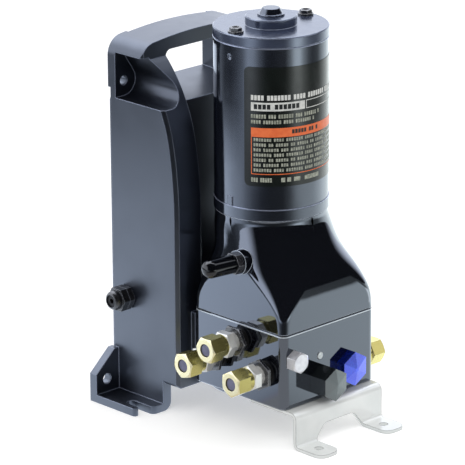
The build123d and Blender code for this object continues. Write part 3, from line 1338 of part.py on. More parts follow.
NODES = {
    "electronics_housing": electronics_case,
    "rear_gasket": rear_gasket,
    "rear_cover": rear_cover,
    "rear_cover_screws": rear_screws,
    "control_board": control_board,
    "board_screws": board_screws,
    "power_transistors": power_transistors,
    "filter_capacitors": filter_capacitors,
    "terminal_block": terminal_block,
    "gland_body": gland_body,
    "gland_locknut": gland_locknut,
    "gland_seal": gland_seal,
    "gland_nut": gland_nut,
    "motor_can": motor_can,
    "motor_label": motor_label,
    "motor_end_cap": motor_end_cap,
    "bearing_cap": bearing_cap,
    "through_bolts": through_bolts,
    "field_magnets": field_magnets,
    "armature_core": armature_core,
    "armature_windings": armature_windings,
    "commutator": commutator,
    "motor_shaft": motor_shaft,
    "brush_plate": brush_plate,
    "carbon_brushes": carbon_brushes,
    "upper_bearing": lambda: bearing(CAN_TOP_Z),
    "lower_bearing": lambda: bearing(CAN_Z - BEARING_H),
    "motor_base_ring": motor_base_ring,
    "shaft_seal": shaft_seal,
    "shaft_coupling": shaft_coupling,
    "pump_housing": pump_housing,
    "housing_seal": housing_seal,
    "housing_screws": housing_screws,
    "gear_pump_body": gear_pump_body,
    "gear_pump_cover": gear_pump_cover,
    "pump_screws": pump_screws,
    "drive_gear": drive_gear,
    "idler_gear": idler_gear,
    "idler_pin": idler_pin,
    "vent_body": vent_body,
    "vent_cap": vent_cap,
    "manifold_block": manifold_block,
    "block_screws": block_screws,
    "relief_plug": lambda: facet_plug(BLACK_PLUG_AT, BLACK_PLUG_AF, BLACK_PLUG_L),
    "relief_poppet": lambda: poppet(BLACK_PLUG_AT),
    "relief_spring": lambda: poppet_spring(BLACK_PLUG_AT),
    "check_plug": lambda: facet_plug(BLUE_PLUG_AT, BLUE_PLUG_AF, BLUE_PLUG_L),
    "check_poppet": lambda: poppet(BLUE_PLUG_AT),
    "check_spring": lambda: poppet_spring(BLUE_PLUG_AT),
    "hex_plug": hex_plug,
    "dot_plug": dot_plug,
    "port_adaptors": lambda: [port_adaptor(*port) for port in ports()],
    "port_rings": lambda: [port_ring(*port) for port in ports()],
    "port_locknuts": port_locknuts,
    "tube_nuts": lambda: [tube_nut(*port) for port in ports()],
    "tube_sleeves": lambda: [tube_sleeve(*port) for port in ports()],
    "support_bracket": support_bracket,
    "bracket_screws": bracket_screws,
    "bottom_cover": bottom_cover,
    "cover_screws": cover_screws,
}


def save(name, made):
    """Write one node, which is one solid or a list of like pieces."""
    pieces = made if isinstance(made, list) else [made]
    solids = [solid for piece in pieces for solid in piece.solids()]
    export_step(solids[0] if len(solids) == 1 else Compound(solids), f"parts/{name}.step")
    print(name, len(solids), round(sum(solid.volume for solid in solids)))


os.makedirs("parts", exist_ok=True)
for node, make in NODES.items():
    save(node, make())
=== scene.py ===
"""Power assist steering unit for a boat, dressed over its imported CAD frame. Metres, Z up."""
from math import cos, pi, radians, sin

import bmesh
import bpy
from mathutils import Matrix, Vector


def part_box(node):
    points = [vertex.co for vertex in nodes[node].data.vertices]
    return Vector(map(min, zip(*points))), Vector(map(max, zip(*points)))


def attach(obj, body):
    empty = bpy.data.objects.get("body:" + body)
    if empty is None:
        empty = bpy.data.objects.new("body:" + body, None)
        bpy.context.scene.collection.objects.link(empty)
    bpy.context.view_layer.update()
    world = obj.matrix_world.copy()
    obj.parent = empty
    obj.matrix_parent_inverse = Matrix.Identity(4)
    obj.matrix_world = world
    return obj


MM = 0.001
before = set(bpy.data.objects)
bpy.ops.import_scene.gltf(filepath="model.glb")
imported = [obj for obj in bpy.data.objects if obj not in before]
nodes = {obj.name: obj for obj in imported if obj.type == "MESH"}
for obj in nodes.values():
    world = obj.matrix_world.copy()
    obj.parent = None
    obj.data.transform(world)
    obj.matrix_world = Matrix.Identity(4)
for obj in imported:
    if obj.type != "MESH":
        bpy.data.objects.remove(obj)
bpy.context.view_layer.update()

# Photograph's camera, fitted to the object's edges
CAMERA_AT = Vector((-1693.07, -1709.67, 932.99)) * MM
CAMERA_AZIMUTH = radians(44.05)
CAMERA_PITCH = radians(18.286)
CAMERA_ROLL = radians(-0.313)
FOCAL_PX = 3500
FRAME_PX = 465
SENSOR_MM = 36.0


# Nodes and patterns

GRAIN_DETAIL = 3.0
TONE_SPAN = (0.35, 0.65)    # share of the noise that runs from the low tone to the high one
ROUGH_SPAN = (0.3, 0.7)
BUMP_DEPTH_MM = 0.05
PAINTED_EDGE_TURN = (0.985, 0.90)   # cosine of the turn where an edge's painted highlight colour starts and where it is full
PAINTED_END_TURN = (0.40, 0.48)     # share of the X axis in the normal where an end face's painted reflection starts and is full


def rgb(code):
    """Linear colour of an sRGB hex value."""
    channels = [int(code[i:i + 2], 16) / 255 for i in (1, 3, 5)]
    linear = [c / 12.92 if c <= 0.04045 else ((c + 0.055) / 1.055) ** 2.4 for c in channels]
    return (*linear, 1.0)


def grey(value):
    return (value, value, value, 1.0)


def add(tree, kind, links=None, values=None, stops=None, **settings):
    """Add a node with its settings and links; values set inputs by number, stops a colour ramp."""
    node = tree.nodes.new(kind)
    for name, value in settings.items():
        socket = node.inputs.get(name.replace("_", " "))
        if socket is not None and not hasattr(node, name):
            socket.default_value = value
        else:
            setattr(node, name, value)
    for number, value in (values or {}).items():
        node.inputs[number].default_value = value
    for name, source in (links or {}).items():
        tree.links.new(source, node.inputs[name])
    if stops:
        elements = node.color_ramp.elements
        elements[0].position, elements[0].color = stops[0]
        elements[-1].position, elements[-1].color = stops[-1]
        for position, color in stops[1:-1]:
            elements.new(position).color = color
    return node


def new_material(name):
    """Empty material with its tree and object coordinates."""
    material = bpy.data.materials.new(name)
    material.use_nodes = True
    tree = material.node_tree
    tree.nodes.clear()
    place = add(tree, "ShaderNodeTexCoord").outputs["Object"]
    return material, tree, place


def grain(tree, place, size_mm, squeeze=(1, 1, 1)):
    """Noise with features about size_mm across, squeezed along each axis by its factor."""
    drawn = add(tree, "ShaderNodeMapping", {"Vector": place}, Scale=squeeze).outputs["Vector"]
    noise = add(tree, "ShaderNodeTexNoise", {"Vector": drawn}, Scale=1 / (size_mm * MM), Detail=GRAIN_DETAIL)
    return noise.outputs["Fac"]


def painted_edge_light(tree, colour, rounded, edge):
    """Painted highlight on edges: colour that turns to the edge's where the surface turns sharply; an edge
    colour darker than the surface paints shade there instead.
    """
    flat = add(tree, "ShaderNodeNewGeometry").outputs["Normal"]
    same = add(tree, "ShaderNodeVectorMath", {0: rounded, 1: flat}, operation="DOT_PRODUCT").outputs["Value"]
    share = add(tree, "ShaderNodeMapRange", {"Value": same}, interpolation_type="SMOOTHSTEP",
                From_Min=PAINTED_EDGE_TURN[0], From_Max=PAINTED_EDGE_TURN[1]).outputs["Result"]
    mixed = add(tree, "ShaderNodeMix", {0: share, 6: colour}, {7: rgb(edge)}, data_type="RGBA")
    return mixed.outputs[2]


def painted_end_reflection(tree, colour, flats_reflection):
    """Painted reflection: the given colour on ends square to the X axis, and the flats' duller colour
    everywhere else.
    """
    normal = add(tree, "ShaderNodeNewGeometry").outputs["Normal"]
    along = add(tree, "ShaderNodeVectorMath", {0: normal}, {1: (1, 0, 0)}, operation="DOT_PRODUCT")
    either_way = add(tree, "ShaderNodeMath", {0: along.outputs["Value"]}, operation="ABSOLUTE")
    share = add(tree, "ShaderNodeMapRange", {"Value": either_way.outputs["Value"]},
                interpolation_type="SMOOTHSTEP", From_Min=PAINTED_END_TURN[0], From_Max=PAINTED_END_TURN[1]).outputs["Result"]
    mixed = add(tree, "ShaderNodeMix", {0: share, 7: colour}, {6: rgb(flats_reflection)}, data_type="RGBA")
    return mixed.outputs[2]


def finish(name, tone, rough, bump, edge_mm=0, edge=None, flats_reflection=None, squeeze=(1, 1, 1), **shader):
    """Surface whose tone and roughness vary, with a fine bump and, where stated, rounded edges, a painted
    highlight colour on them and painted reflection on end faces.

    tone and rough are a low value, a high value and the pattern's size in millimetres;
    bump is its size in millimetres and its strength; the edge colour is painted on the edges as a highlight,
    as shade where it is darker, and the flats' colour is a painted reflection.
    """
    material, tree, place = new_material(name)
    low, high, size_mm = tone
    colour = add(tree, "ShaderNodeValToRGB", {"Fac": grain(tree, place, size_mm)},
                 stops=[(TONE_SPAN[0], rgb(low)), (TONE_SPAN[1], rgb(high))]).outputs["Color"]
    low, high, size_mm = rough
    gloss = add(tree, "ShaderNodeValToRGB", {"Fac": grain(tree, place, size_mm, squeeze)},
                stops=[(ROUGH_SPAN[0], grey(low)), (ROUGH_SPAN[1], grey(high))]).outputs["Color"]
    size_mm, strength = bump
    relief = {"Height": grain(tree, place, size_mm, squeeze)}
    # Painted reflection: end faces lighter than the flats
    if flats_reflection:
        colour = painted_end_reflection(tree, colour, flats_reflection)
    if edge_mm:
        relief["Normal"] = add(tree, "ShaderNodeBevel", Radius=edge_mm * MM, samples=6).outputs["Normal"]
    # Painted highlight on the edges; where the edge colour is darker, painted shade
    if edge:
        colour = painted_edge_light(tree, colour, relief["Normal"], edge)
    bumped = add(tree, "ShaderNodeBump", relief, Strength=strength, Distance=BUMP_DEPTH_MM * MM)
    surface = add(tree, "ShaderNodeBsdfPrincipled",
                  {"Base Color": colour, "Roughness": gloss, "Normal": bumped.outputs["Normal"]}, **shader)
    add(tree, "ShaderNodeOutputMaterial", {"Surface": surface.outputs["BSDF"]})
    return material


# Finishes, by their real material, with painted highlights and reflections where noted

# A pixel of the render is about 0.7 mm on the unit. Grit, brushing, turning marks and the texture of
# inks and mouldings are much finer than that, so their patterns are drawn coarser, from 0.3 mm up, to show.

BLUE_SHEEN = rgb("#e2ecfd")
GREEN_SHEEN = rgb("#eef6fa")


def coats():
    """Paints and lacquer on the castings, the motor can and the block."""
    return {
        # Polyester powder coat on cast aluminium: blue-black, satin, faint orange peel, with a painted
        # highlight on its edges
        "powder_coat": finish("black_powder_coat", ("#080a12", "#0b0d16", 40), (0.30, 0.38, 18), (2.5, 0.12),
                              edge_mm=1.0, edge="#757d92", IOR=2.2, Specular_Tint=BLUE_SHEEN),
        # Baked enamel on the steel motor can: smooth, with a slightly soft reflection and a painted highlight
        # on its edges
        "enamel": finish("black_baked_enamel", ("#080a12", "#0b0d16", 30), (0.10, 0.16, 12), (6.0, 0.06),
                         edge_mm=0.6, edge="#8890a6", IOR=2.5, Specular_Tint=BLUE_SHEEN),
        # Stove enamel over the sand cast end cap: greyer and soft, with a painted highlight on every edge
        "cast_enamel": finish("enamel_on_casting", ("#2a3042", "#343b4f", 12), (0.16, 0.24, 5), (1.0, 0.12),
                              edge_mm=0.7, edge="#a4abbd", IOR=2.45, Specular_Tint=BLUE_SHEEN),
        # Polished black lacquer on machined aluminium: mirrors the fittings beside it, with a painted
        # highlight on its edges
        "lacquer": finish("polished_black_lacquer", ("#06070b", "#08090e", 60), (0.03, 0.06, 25), (9.0, 0.03),
                          edge_mm=0.8, edge="#c4ccd8", IOR=2.55, Specular_Tint=BLUE_SHEEN),
    }


def label_finishes():
    """Film of the label and the inks printed on it."""
    return {
        # Coated film: a green-black field, less glossy than the enamel under it
        "label": finish("black_label_film", ("#0a0f0d", "#0f1513", 15), (0.16, 0.24, 6), (0.8, 0.05),
                        IOR=1.6),
        # Screen printed inks: matte, with slightly uneven tone
        "white_ink": finish("white_screen_ink", ("#b9bbb8", "#cfd0cc", 3), (0.4, 0.5, 4), (0.5, 0.05),
                            IOR=1.5),
        "orange_ink": finish("orange_screen_ink", ("#d4602c", "#de6c36", 3), (0.35, 0.45, 4), (0.5, 0.05),
                             IOR=1.5),
        "grey_ink": finish("grey_screen_ink", ("#73776c", "#a3a698", 2), (0.4, 0.5, 4), (0.5, 0.05),
                           IOR=1.5),
        "dark_ink": finish("dark_screen_ink", ("#15181a", "#1f2324", 2), (0.4, 0.5, 4), (0.5, 0.05),
                           IOR=1.5),
    }


def bright_metals():
    """Bare and plated metal of the fittings, the bracket and the screws, and the pale finishes of the painted
    highlights on the can's joints and the block's top edge.
    """
    return {
        # Painted highlight: thin pale beads at the motor can's joints, bright, a little soft
        "rim_highlight": finish("painted_rim_highlight", ("#8d94a8", "#a0a7ba", 8), (0.14, 0.22, 2), (0.5, 0.05),
                       Metallic=0.7),
        # Painted highlight along the block's top edge: a pale satin line where its chamfer catches light
        "seam_highlight": finish("painted_seam_highlight", ("#c2cad2", "#d2d9de", 8), (0.2, 0.3, 2), (0.5, 0.05),
                              Metallic=0.4),
        # Machined brass nuts, lightly passivated, with painted reflection: pale end faces and olive flats;
        # their edges carry a painted highlight
        "brass": finish("machined_brass", ("#f3e6b4", "#fbf0c8", 9), (0.20, 0.26, 1.2), (0.9, 0.05),
                        edge_mm=0.3, edge="#fff6d6", flats_reflection="#cfc47a", squeeze=(6, 1, 1), Metallic=0.9),
        # Nickel plated adaptors: bright with fine turning marks and a painted white highlight on the edges
        "nickel": finish("nickel_plate", ("#e2e2e0", "#f2f2ee", 5), (0.14, 0.22, 0.8), (0.7, 0.06),
                         edge_mm=0.3, edge="#ffffff", squeeze=(8, 1, 1), Metallic=0.55),
        # Stainless sheet, brushed along its width, satin white in a light room, with painted shade darkening
        # its edges
        "stainless": finish("brushed_stainless_sheet", ("#e2e5e4", "#eceeed", 25), (0.16, 0.20, 1.5),
                            (0.3, 0.03), edge_mm=0.6, edge="#5c6160", squeeze=(0.08, 1, 1), Metallic=0.15,
                            IOR=1.35),
        # Zinc plated screws: pale grey with a faint bloom
        "zinc": finish("zinc_plate", ("#b4b6b8", "#d0d2d4", 3), (0.25, 0.4, 1.5), (0.6, 0.2), edge_mm=0.2,
                       Metallic=1.0),
        # Silver plated hexagon plug, almost white in the photo's light, with a painted white highlight on its
        # edges
        "plug_silver": finish("satin_silver_plug", ("#e2e2e8", "#f0f0f5", 3), (0.3, 0.4, 2), (0.6, 0.04),
                              edge_mm=0.3, edge="#ffffff", Metallic=0.7),
    }


def dark_metals():
    """Anodised plugs and blackened steel."""
    return {
        # Dark anodised aluminium plug: satin graphite
        "anodised_black": finish("graphite_anodised_aluminium", ("#0c1011", "#101415", 6), (0.20, 0.25, 3),
                                 (0.8, 0.03), edge_mm=0.25, IOR=2.95, Specular_Tint=GREEN_SHEEN),
        # Blue anodised aluminium plug: blue metal under a clear, slightly soft layer
        "anodised_blue": finish("blue_anodised_aluminium", ("#1a3ae0", "#224cee", 6), (0.24, 0.30, 3),
                                (0.8, 0.04), edge_mm=0.25, Metallic=0.9, Coat_Weight=1.0,
                                Coat_Roughness=0.2, Coat_IOR=2.0),
        # Black oxide on steel bolts and locknuts: dark, with bright edges that are partly wear and partly
        # painted highlight
        "black_oxide": finish("black_oxide_steel", ("#101116", "#1b1c22", 3), (0.22, 0.34, 1.5), (0.6, 0.15),
                              edge_mm=0.35, edge="#b0b2b8", IOR=2.2),
    }


def mouldings():
    """Plastic and rubber outside."""
    return {
        # Grey polyethylene transit plugs: waxy and matte
        "plug_plastic": finish("grey_polyethylene", ("#5f6078", "#6b6c86", 3), (0.4, 0.55, 2), (0.5, 0.15),
                               IOR=1.5),
        # Moulded black nylon: satin, with the tool's fine texture and a painted highlight on its edges
        "nylon": finish("moulded_black_nylon", ("#0a0a0c", "#101013", 5), (0.25, 0.38, 2), (0.5, 0.2),
                        edge_mm=0.4, edge="#7c828e", IOR=1.9),
        # Dip moulded vinyl cap: wet looking, slightly uneven skin
        "vinyl": finish("dipped_black_vinyl", ("#040508", "#07080c", 6), (0.04, 0.07, 4), (3.5, 0.25),
                        IOR=1.62),
        # Nitrile rubber: matte black with a bloom
        "rubber": finish("nitrile_rubber", ("#0b0b0c", "#151517", 3), (0.5, 0.65, 2), (0.4, 0.2), IOR=1.5),
    }


def motor_finishes():
    """What the motor, the pump and the valves are made of inside."""
    return {
        # Ground tool steel of gears, shafts and bearings: bright, with fine lines round its axis
        "steel": finish("ground_steel", ("#9a9ca0", "#b9bbbf", 6), (0.18, 0.3, 1), (0.5, 0.15),
                        squeeze=(1, 1, 6), Metallic=1.0),
        # Stacked laminations: grey, with the edges of thin level sheets
        "laminations": finish("stacked_laminations", ("#4b4d52", "#6a6c72", 2), (0.35, 0.5, 1), (0.6, 0.5),
                              squeeze=(0.1, 0.1, 2), Metallic=0.9),
        # Enamelled copper wire: red-brown strands side by side
        "copper": finish("enamelled_copper", ("#8c3f18", "#b8622c", 2), (0.25, 0.4, 1), (0.9, 0.5),
                         squeeze=(1, 1, 0.3), Metallic=0.9),
        # Sintered ferrite magnets: charcoal and dull
        "ferrite": finish("sintered_ferrite", ("#1d1d1f", "#2b2b2e", 2), (0.55, 0.7, 1), (0.6, 0.3), IOR=1.6),
        # Pressed carbon brushes: near black, grainy
        "carbon": finish("pressed_carbon", ("#151516", "#232325", 1.5), (0.45, 0.6, 1), (0.5, 0.3), IOR=1.6),
        # Paper phenolic plate: brown board with a slight shine
        "phenolic": finish("paper_phenolic", ("#3b2213", "#56331c", 4), (0.35, 0.5, 2), (0.5, 0.1), IOR=1.55),
        # Machined grey iron pump body: mid grey with open grain
        "iron": finish("machined_grey_iron", ("#4c4d4f", "#66686b", 4), (0.4, 0.55, 2), (0.7, 0.3),
                       Metallic=0.8),
    }


def electronic_finishes():
    """What the control board and its parts are made of."""
    return {
        # Solder masked laminate: green and half glossy
        "board": finish("solder_masked_laminate", ("#0c3a22", "#115030", 6), (0.3, 0.4, 4), (0.8, 0.2),
                        IOR=1.55),
        # Moulded epoxy packages: flat black
        "epoxy": finish("moulded_epoxy", ("#121213", "#1c1c1e", 3), (0.5, 0.65, 2), (0.4, 0.2), IOR=1.55),
        # Shrink sleeve on the capacitors: dark blue and smooth
        "sleeve": finish("capacitor_sleeve", ("#0c1230", "#14204a", 4), (0.2, 0.3, 3), (0.8, 0.05), IOR=1.5),
    }


NODE_FINISH = {
    "powder_coat": ("electronics_housing", "rear_cover", "bottom_cover"),
    "lacquer": ("pump_housing", "manifold_block"),
    "enamel": ("motor_can", "motor_base_ring", "bearing_cap"),
    "cast_enamel": ("motor_end_cap",),
    "label": ("motor_label",),
    "brass": ("tube_nuts", "tube_sleeves"),
    "nickel": ("port_adaptors",),
    "stainless": ("support_bracket",),
    "zinc": ("dot_plug", "housing_screws", "block_screws", "pump_screws", "bracket_screws", "cover_screws",
             "board_screws"),
    "plug_silver": ("hex_plug",),
    "anodised_black": ("relief_plug",),
    "anodised_blue": ("check_plug",),
    "black_oxide": ("through_bolts", "rear_cover_screws", "port_locknuts", "vent_body"),
    "nylon": ("gland_body", "gland_nut", "gland_locknut"),
    "vinyl": ("vent_cap",),
    "rubber": ("gland_seal", "port_rings", "shaft_seal", "housing_seal", "rear_gasket"),
    "steel": ("motor_shaft", "drive_gear", "idler_gear", "idler_pin", "shaft_coupling", "relief_poppet",
              "check_poppet", "relief_spring", "check_spring", "upper_bearing", "lower_bearing"),
    "laminations": ("armature_core",),
    "copper": ("armature_windings", "commutator"),
    "ferrite": ("field_magnets",),
    "carbon": ("carbon_brushes",),
    "phenolic": ("brush_plate",),
    "iron": ("gear_pump_body", "gear_pump_cover"),
    "board": ("control_board",),
    "epoxy": ("power_transistors", "terminal_block"),
    "sleeve": ("filter_capacitors",),
}


def dress_nodes(materials):
    for name, members in NODE_FINISH.items():
        for member in members:
            mesh = nodes[member].data
            mesh.materials.clear()
            mesh.materials.append(materials[name])


def new_piece(name, mesh, material):
    """Object from a finished mesh, riding on the unit."""
    data = bpy.data.meshes.new(name)
    mesh.to_mesh(data)
    mesh.free()
    data.materials.append(material)
    for face in data.polygons:
        face.use_smooth = True
    piece = bpy.data.objects.new(name, data)
    bpy.context.scene.collection.objects.link(piece)
    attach(piece, "unit")
    return piece


# Label print: patches of ink bent round the can, in degrees round it and millimetres up it

LABEL_R = 41.58
INK_T = 0.05
PATCH_STEP = 3          # degrees that one flat of a patch spans, or nearly
RULE = 0.55             # width of the frames' lines
PRINT = (205.2, 338.0)  # left and right edge of the print
TITLE_Z = (249.0, 252.7)
FIELD_Z = (241.2, 247.4)
FIELD_END = 260.2
FIELD_GAP = 1.4
LINES = ((235.8, 238.7, 280.5), (231.8, 234.5, 274.5))      # low, high and right end
BAND_Z = (222.6, 228.8)
PANEL_LOW = 194.4
PANEL_ROWS = 7
PANEL_TOP_ROW = 221.2
PANEL_INDENT = 2.6
ROW_PITCH = 3.73
ROW_H = 2.3
FOOT_Z = (188.8, 192.0)
FOOT_WORDS_END = 226
FOOT_MARKS = ((235, 239), (241, 245), (248, 255), (260, 279))
BAND_WORDS = (246, 280)
BAND_MARGIN = 1.6       # above and below the words in the band
FIELD_MARGIN = 1.3
FIELD_INDENT = 3
# Letter and gap of each size of print, in degrees
TITLE_TYPE = (2.6, 0.8)
SMALL_TYPE = (1.9, 0.7)
FOOT_TYPE = (1.9, 0.5)
BAND_TYPE = (2.6, 0.7)
FIELD_TYPE = (3.4, 0.9)


def ink_patch(mesh, lift, start, end, low, high):
    """Curved patch of ink between two bearings and two heights."""
    radius = (LABEL_R + lift) * MM
    angle = radians(start)
    foot = Vector((radius * cos(angle), radius * sin(angle), low * MM))
    bottom = mesh.verts.new(foot)
    top = mesh.verts.new(foot + Vector((0, 0, (high - low) * MM)))
    edge = mesh.edges.new((bottom, top))
    steps = max(1, round(abs(end - start) / PATCH_STEP))
    bmesh.ops.spin(mesh, geom=[bottom, top, edge], cent=(0, 0, 0), axis=(0, 0, 1), angle=radians(end - start),
                   steps=steps, use_merge=False)


def ink_piece(name, material, patches, lift=INK_T):
    """One piece of print from (start, end, low, high) patches."""
    mesh = bmesh.new()
    for patch in patches:
        ink_patch(mesh, lift, *patch)
    bmesh.ops.recalc_face_normals(mesh, faces=mesh.faces)
    return new_piece(name, mesh, material)


def word_bars(low, high, start, end, size, first):
    """Row of print: bars in words of two to seven, with a space between; first varies the words' lengths."""
    letter, gap = size
    bars = []
    at = start
    count = first
    while at + letter < end:
        for _ in range(2 + count * 5 % 6):
            if at + letter < end:
                bars.append((at, at + letter, low, high))
            at += letter + gap
        at += letter
        count += 3
    return bars


def outline_bars(start, end, low, high):
    """Thin frame open on the right; its upright rule is as wide as the level ones."""
    upright = RULE / (LABEL_R * radians(1))
    level_rules = [(start, end, high - RULE, high), (start, end, low, low + RULE)]
    return level_rules + [(start, start + upright, low, high)]


def white_print():
    """Title row, pale field and the empty frame beside it."""
    left, right = PRINT
    patches = [(left, FIELD_END, *FIELD_Z)]
    patches += word_bars(*TITLE_Z, left, right, TITLE_TYPE, first=4)
    return patches + outline_bars(FIELD_END + FIELD_GAP, right, *FIELD_Z)


def orange_print():
    """Orange band and the frame under it."""
    return [(*PRINT, *BAND_Z)] + outline_bars(*PRINT, PANEL_LOW, BAND_Z[0])


def small_print():
    """Lines over the band, rows in its frame, and the marks along the label's foot."""
    left, right = PRINT
    patches = []
    for low, high, end in LINES:
        patches += word_bars(low, high, left, end, SMALL_TYPE, first=round(low))
    for row in range(PANEL_ROWS):
        top = PANEL_TOP_ROW - row * ROW_PITCH
        patches += word_bars(top - ROW_H, top, left + PANEL_INDENT, right, SMALL_TYPE, first=2 * row + 1)
    patches += word_bars(*FOOT_Z, left, FOOT_WORDS_END, FOOT_TYPE, first=5)
    return patches + [(start, end, *FOOT_Z) for start, end in FOOT_MARKS]


def dark_print():
    """Words on the band and on the pale field."""
    band = word_bars(BAND_Z[0] + BAND_MARGIN, BAND_Z[1] - BAND_MARGIN, *BAND_WORDS, BAND_TYPE, first=3)
    field = word_bars(FIELD_Z[0] + FIELD_MARGIN, FIELD_Z[1] - FIELD_MARGIN, PRINT[0] + FIELD_INDENT,
                      FIELD_END - FIELD_INDENT, FIELD_TYPE, first=4)
    return band + field


def print_label(materials):
    """Generic print: fields, frames and rows of bars for words."""
    ink_piece("label_white_print", materials["white_ink"], white_print())
    ink_piece("label_orange_print", materials["orange_ink"], orange_print())
    ink_piece("label_small_print", materials["grey_ink"], small_print())
    ink_piece("label_dark_print", materials["dark_ink"], dark_print(), 2 * INK_T)


# Transit plugs in the open ends of the tube nuts, in millimetres

LEFT_AXES = ((8.5, 53.9), (-15.0, 71.7), (-40.8, 52.7))     # y and z of the nuts' axes
RIGHT_AXIS = (-38.6, 40.1)
PLUG_R = 4.5
PLUG_SINK = 0.7
PLUG_T = 1.5
PLUG_SIDES = 48
PLUG_ROUND = 0.3


def transit_plugs(material):
    """Grey plastic discs just inside the nuts, which keep dirt out until the tubes are fitted."""
    mesh = bmesh.new()
    left, right = (corner[0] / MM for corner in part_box("tube_nuts"))
    depth = PLUG_SINK + PLUG_T / 2
    places = [(left + depth, *axis) for axis in LEFT_AXES] + [(right - depth, *RIGHT_AXIS)]
    for place in places:
        turn = Matrix.Translation(Vector(place) * MM) @ Matrix.Rotation(radians(90), 4, "Y")
        bmesh.ops.create_cone(mesh, cap_ends=True, segments=PLUG_SIDES, radius1=PLUG_R * MM,
                              radius2=PLUG_R * MM, depth=PLUG_T * MM, matrix=turn)
    rims = [edge for edge in mesh.edges if edge.calc_face_angle(0) > 1]
    bmesh.ops.bevel(mesh, geom=rims, offset=PLUG_ROUND * MM, segments=2, profile=0.5, affect="EDGES",
                    material=-1)
    return new_piece("transit_plugs", mesh, material)


# Painted highlight: bright beads at the two joints of the motor can, in millimetres

BEAD_RING_R = 41.4
BEAD_R = 0.42
BEAD_SIDES = 10
RING_STEPS = 180


def rim_highlight_beads(material):
    """Thin pale beads where the can meets its end cap and its base ring, as a painted highlight on the rims.
    """
    mesh = bmesh.new()
    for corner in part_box("motor_can"):
        at = Matrix.Translation((BEAD_RING_R * MM, 0, corner[2])) @ Matrix.Rotation(radians(90), 4, "X")
        made = bmesh.ops.create_circle(mesh, segments=BEAD_SIDES, radius=BEAD_R * MM, matrix=at)
        edges = list({edge for vert in made["verts"] for edge in vert.link_edges})
        bmesh.ops.spin(mesh, geom=made["verts"] + edges, cent=(0, 0, 0), axis=(0, 0, 1), angle=radians(360),
                       steps=RING_STEPS, use_merge=True)
    bmesh.ops.recalc_face_normals(mesh, faces=mesh.faces)
    return new_piece("rim_highlight_beads", mesh, material)


# Painted highlight round the top of the manifold block, in millimetres

SEAM_OUT = 0.08         # stands this far outside the block's sides
SEAM_LOW = 0.9          # below the block's top
SEAM_HIGH = 0.25
SEAM_CORNER = 5.6
CORNER_STEPS = 8


def seam_highlight_band(material):
    """Narrow pale band round the block, just under its joint with the pump housing: a painted highlight."""
    low, high = (Vector(corner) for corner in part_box("manifold_block"))
    centre = (low + high) / 2
    centre.z = high.z - SEAM_LOW * MM
    size = high - low + 2 * SEAM_OUT * MM * Vector((1, 1, 0))
    mesh = bmesh.new()
    at = Matrix.Translation(centre) @ Matrix.Diagonal((size.x, size.y, 1, 1))
    bmesh.ops.create_grid(mesh, x_segments=1, y_segments=1, size=0.5, matrix=at)
    bmesh.ops.bevel(mesh, geom=mesh.verts[:], offset=SEAM_CORNER * MM, segments=CORNER_STEPS, profile=0.5,
                    affect="VERTICES", material=-1)
    bmesh.ops.delete(mesh, geom=mesh.faces[:], context="FACES_ONLY")
    made = bmesh.ops.extrude_edge_only(mesh, edges=mesh.edges[:])
    tops = [vert for vert in made["geom"] if isinstance(vert, bmesh.types.BMVert)]
    bmesh.ops.translate(mesh, verts=tops, vec=(0, 0, (SEAM_LOW - SEAM_HIGH) * MM))
    bmesh.ops.recalc_face_normals(mesh, faces=mesh.faces)
    return new_piece("seam_highlight_band", mesh, material)


# Camera

def camera_axes():
    """Camera's forward and right directions in the unit's frame."""
    level = cos(CAMERA_PITCH)
    forward = Vector((level * sin(CAMERA_AZIMUTH), level * cos(CAMERA_AZIMUTH), -sin(CAMERA_PITCH)))
    right = Vector((cos(CAMERA_AZIMUTH), -sin(CAMERA_AZIMUTH), 0))
    return forward, right


def make_camera():
    """Camera at the photograph's viewing angle."""
    bpy.context.scene.view_settings.view_transform = "Standard"
    forward, right = camera_axes()
    up = right.cross(forward)
    data = bpy.data.cameras.new("camera")
    data.sensor_width = SENSOR_MM
    data.lens = FOCAL_PX / FRAME_PX * SENSOR_MM
    data.clip_end = 20
    camera = bpy.data.objects.new("camera", data)
    turn = Matrix((right, up, -forward)).transposed().to_4x4()
    camera.matrix_world = Matrix.Translation(CAMERA_AT) @ turn @ Matrix.Rotation(CAMERA_ROLL, 4, "Z")
    bpy.context.scene.collection.objects.link(camera)
    bpy.context.scene.camera = camera


# Table: white to the camera, and in the gloss as bright or dark as the photo's reflections show it

FLOOR_SIZE = 8.0
FLOOR_WHITE = 0.8
FLOOR_LIFT = 0.40       # keeps the open floor white to the camera
# Bearing round the unit in degrees, 0 towards the camera and 90 to its right, and brightness
NEAR_RING = ((-150, 1.9), (-108, 1.7), (-90, 1.5), (-75, 1.12), (-60, 0.85), (-50, 0.48), (-36, 0.21),
             (-20, 0.08), (0, 0.05), (22, 0.06), (36, 0.20), (46, 0.50), (55, 0.77), (66, 0.97), (90, 1.15),
             (108, 1.55), (123, 1.9))
FAR_RING = ((-150, 1.7), (-125, 0.5), (-105, 0.10), (-86, 0.08), (-72, 0.20), (-58, 0.45), (-46, 1.20),
            (-36, 1.08), (-24, 0.40), (-12, 0.08), (0, 0.04), (28, 0.10), (38, 0.60), (47, 1.75), (56, 1.95),
            (66, 0.85), (78, 0.26), (88, 0.12), (104, 0.22), (123, 1.25), (145, 2.1))
RING_CHANGE = (0.60, 0.90)      # metres out where the near ring gives way to the far one
RING_GAIN = 1.15
LEFT_TINT = "#e4eefc"
RIGHT_TINT = "#f0f8f8"
FOOT_GLOW = 0.6         # white table right under the unit
FOOT_FADE = (0.30, 0.36)


def ring_stops(ring):
    """Ramp stops from (bearing, brightness) pairs, tinted by side."""
    stops = []
    for bearing, level in ring:
        tint = rgb(LEFT_TINT if bearing < 0 else RIGHT_TINT)
        stops.append(((bearing + 180) / 360, (*(level * part for part in tint[:3]), 1.0)))
    return stops


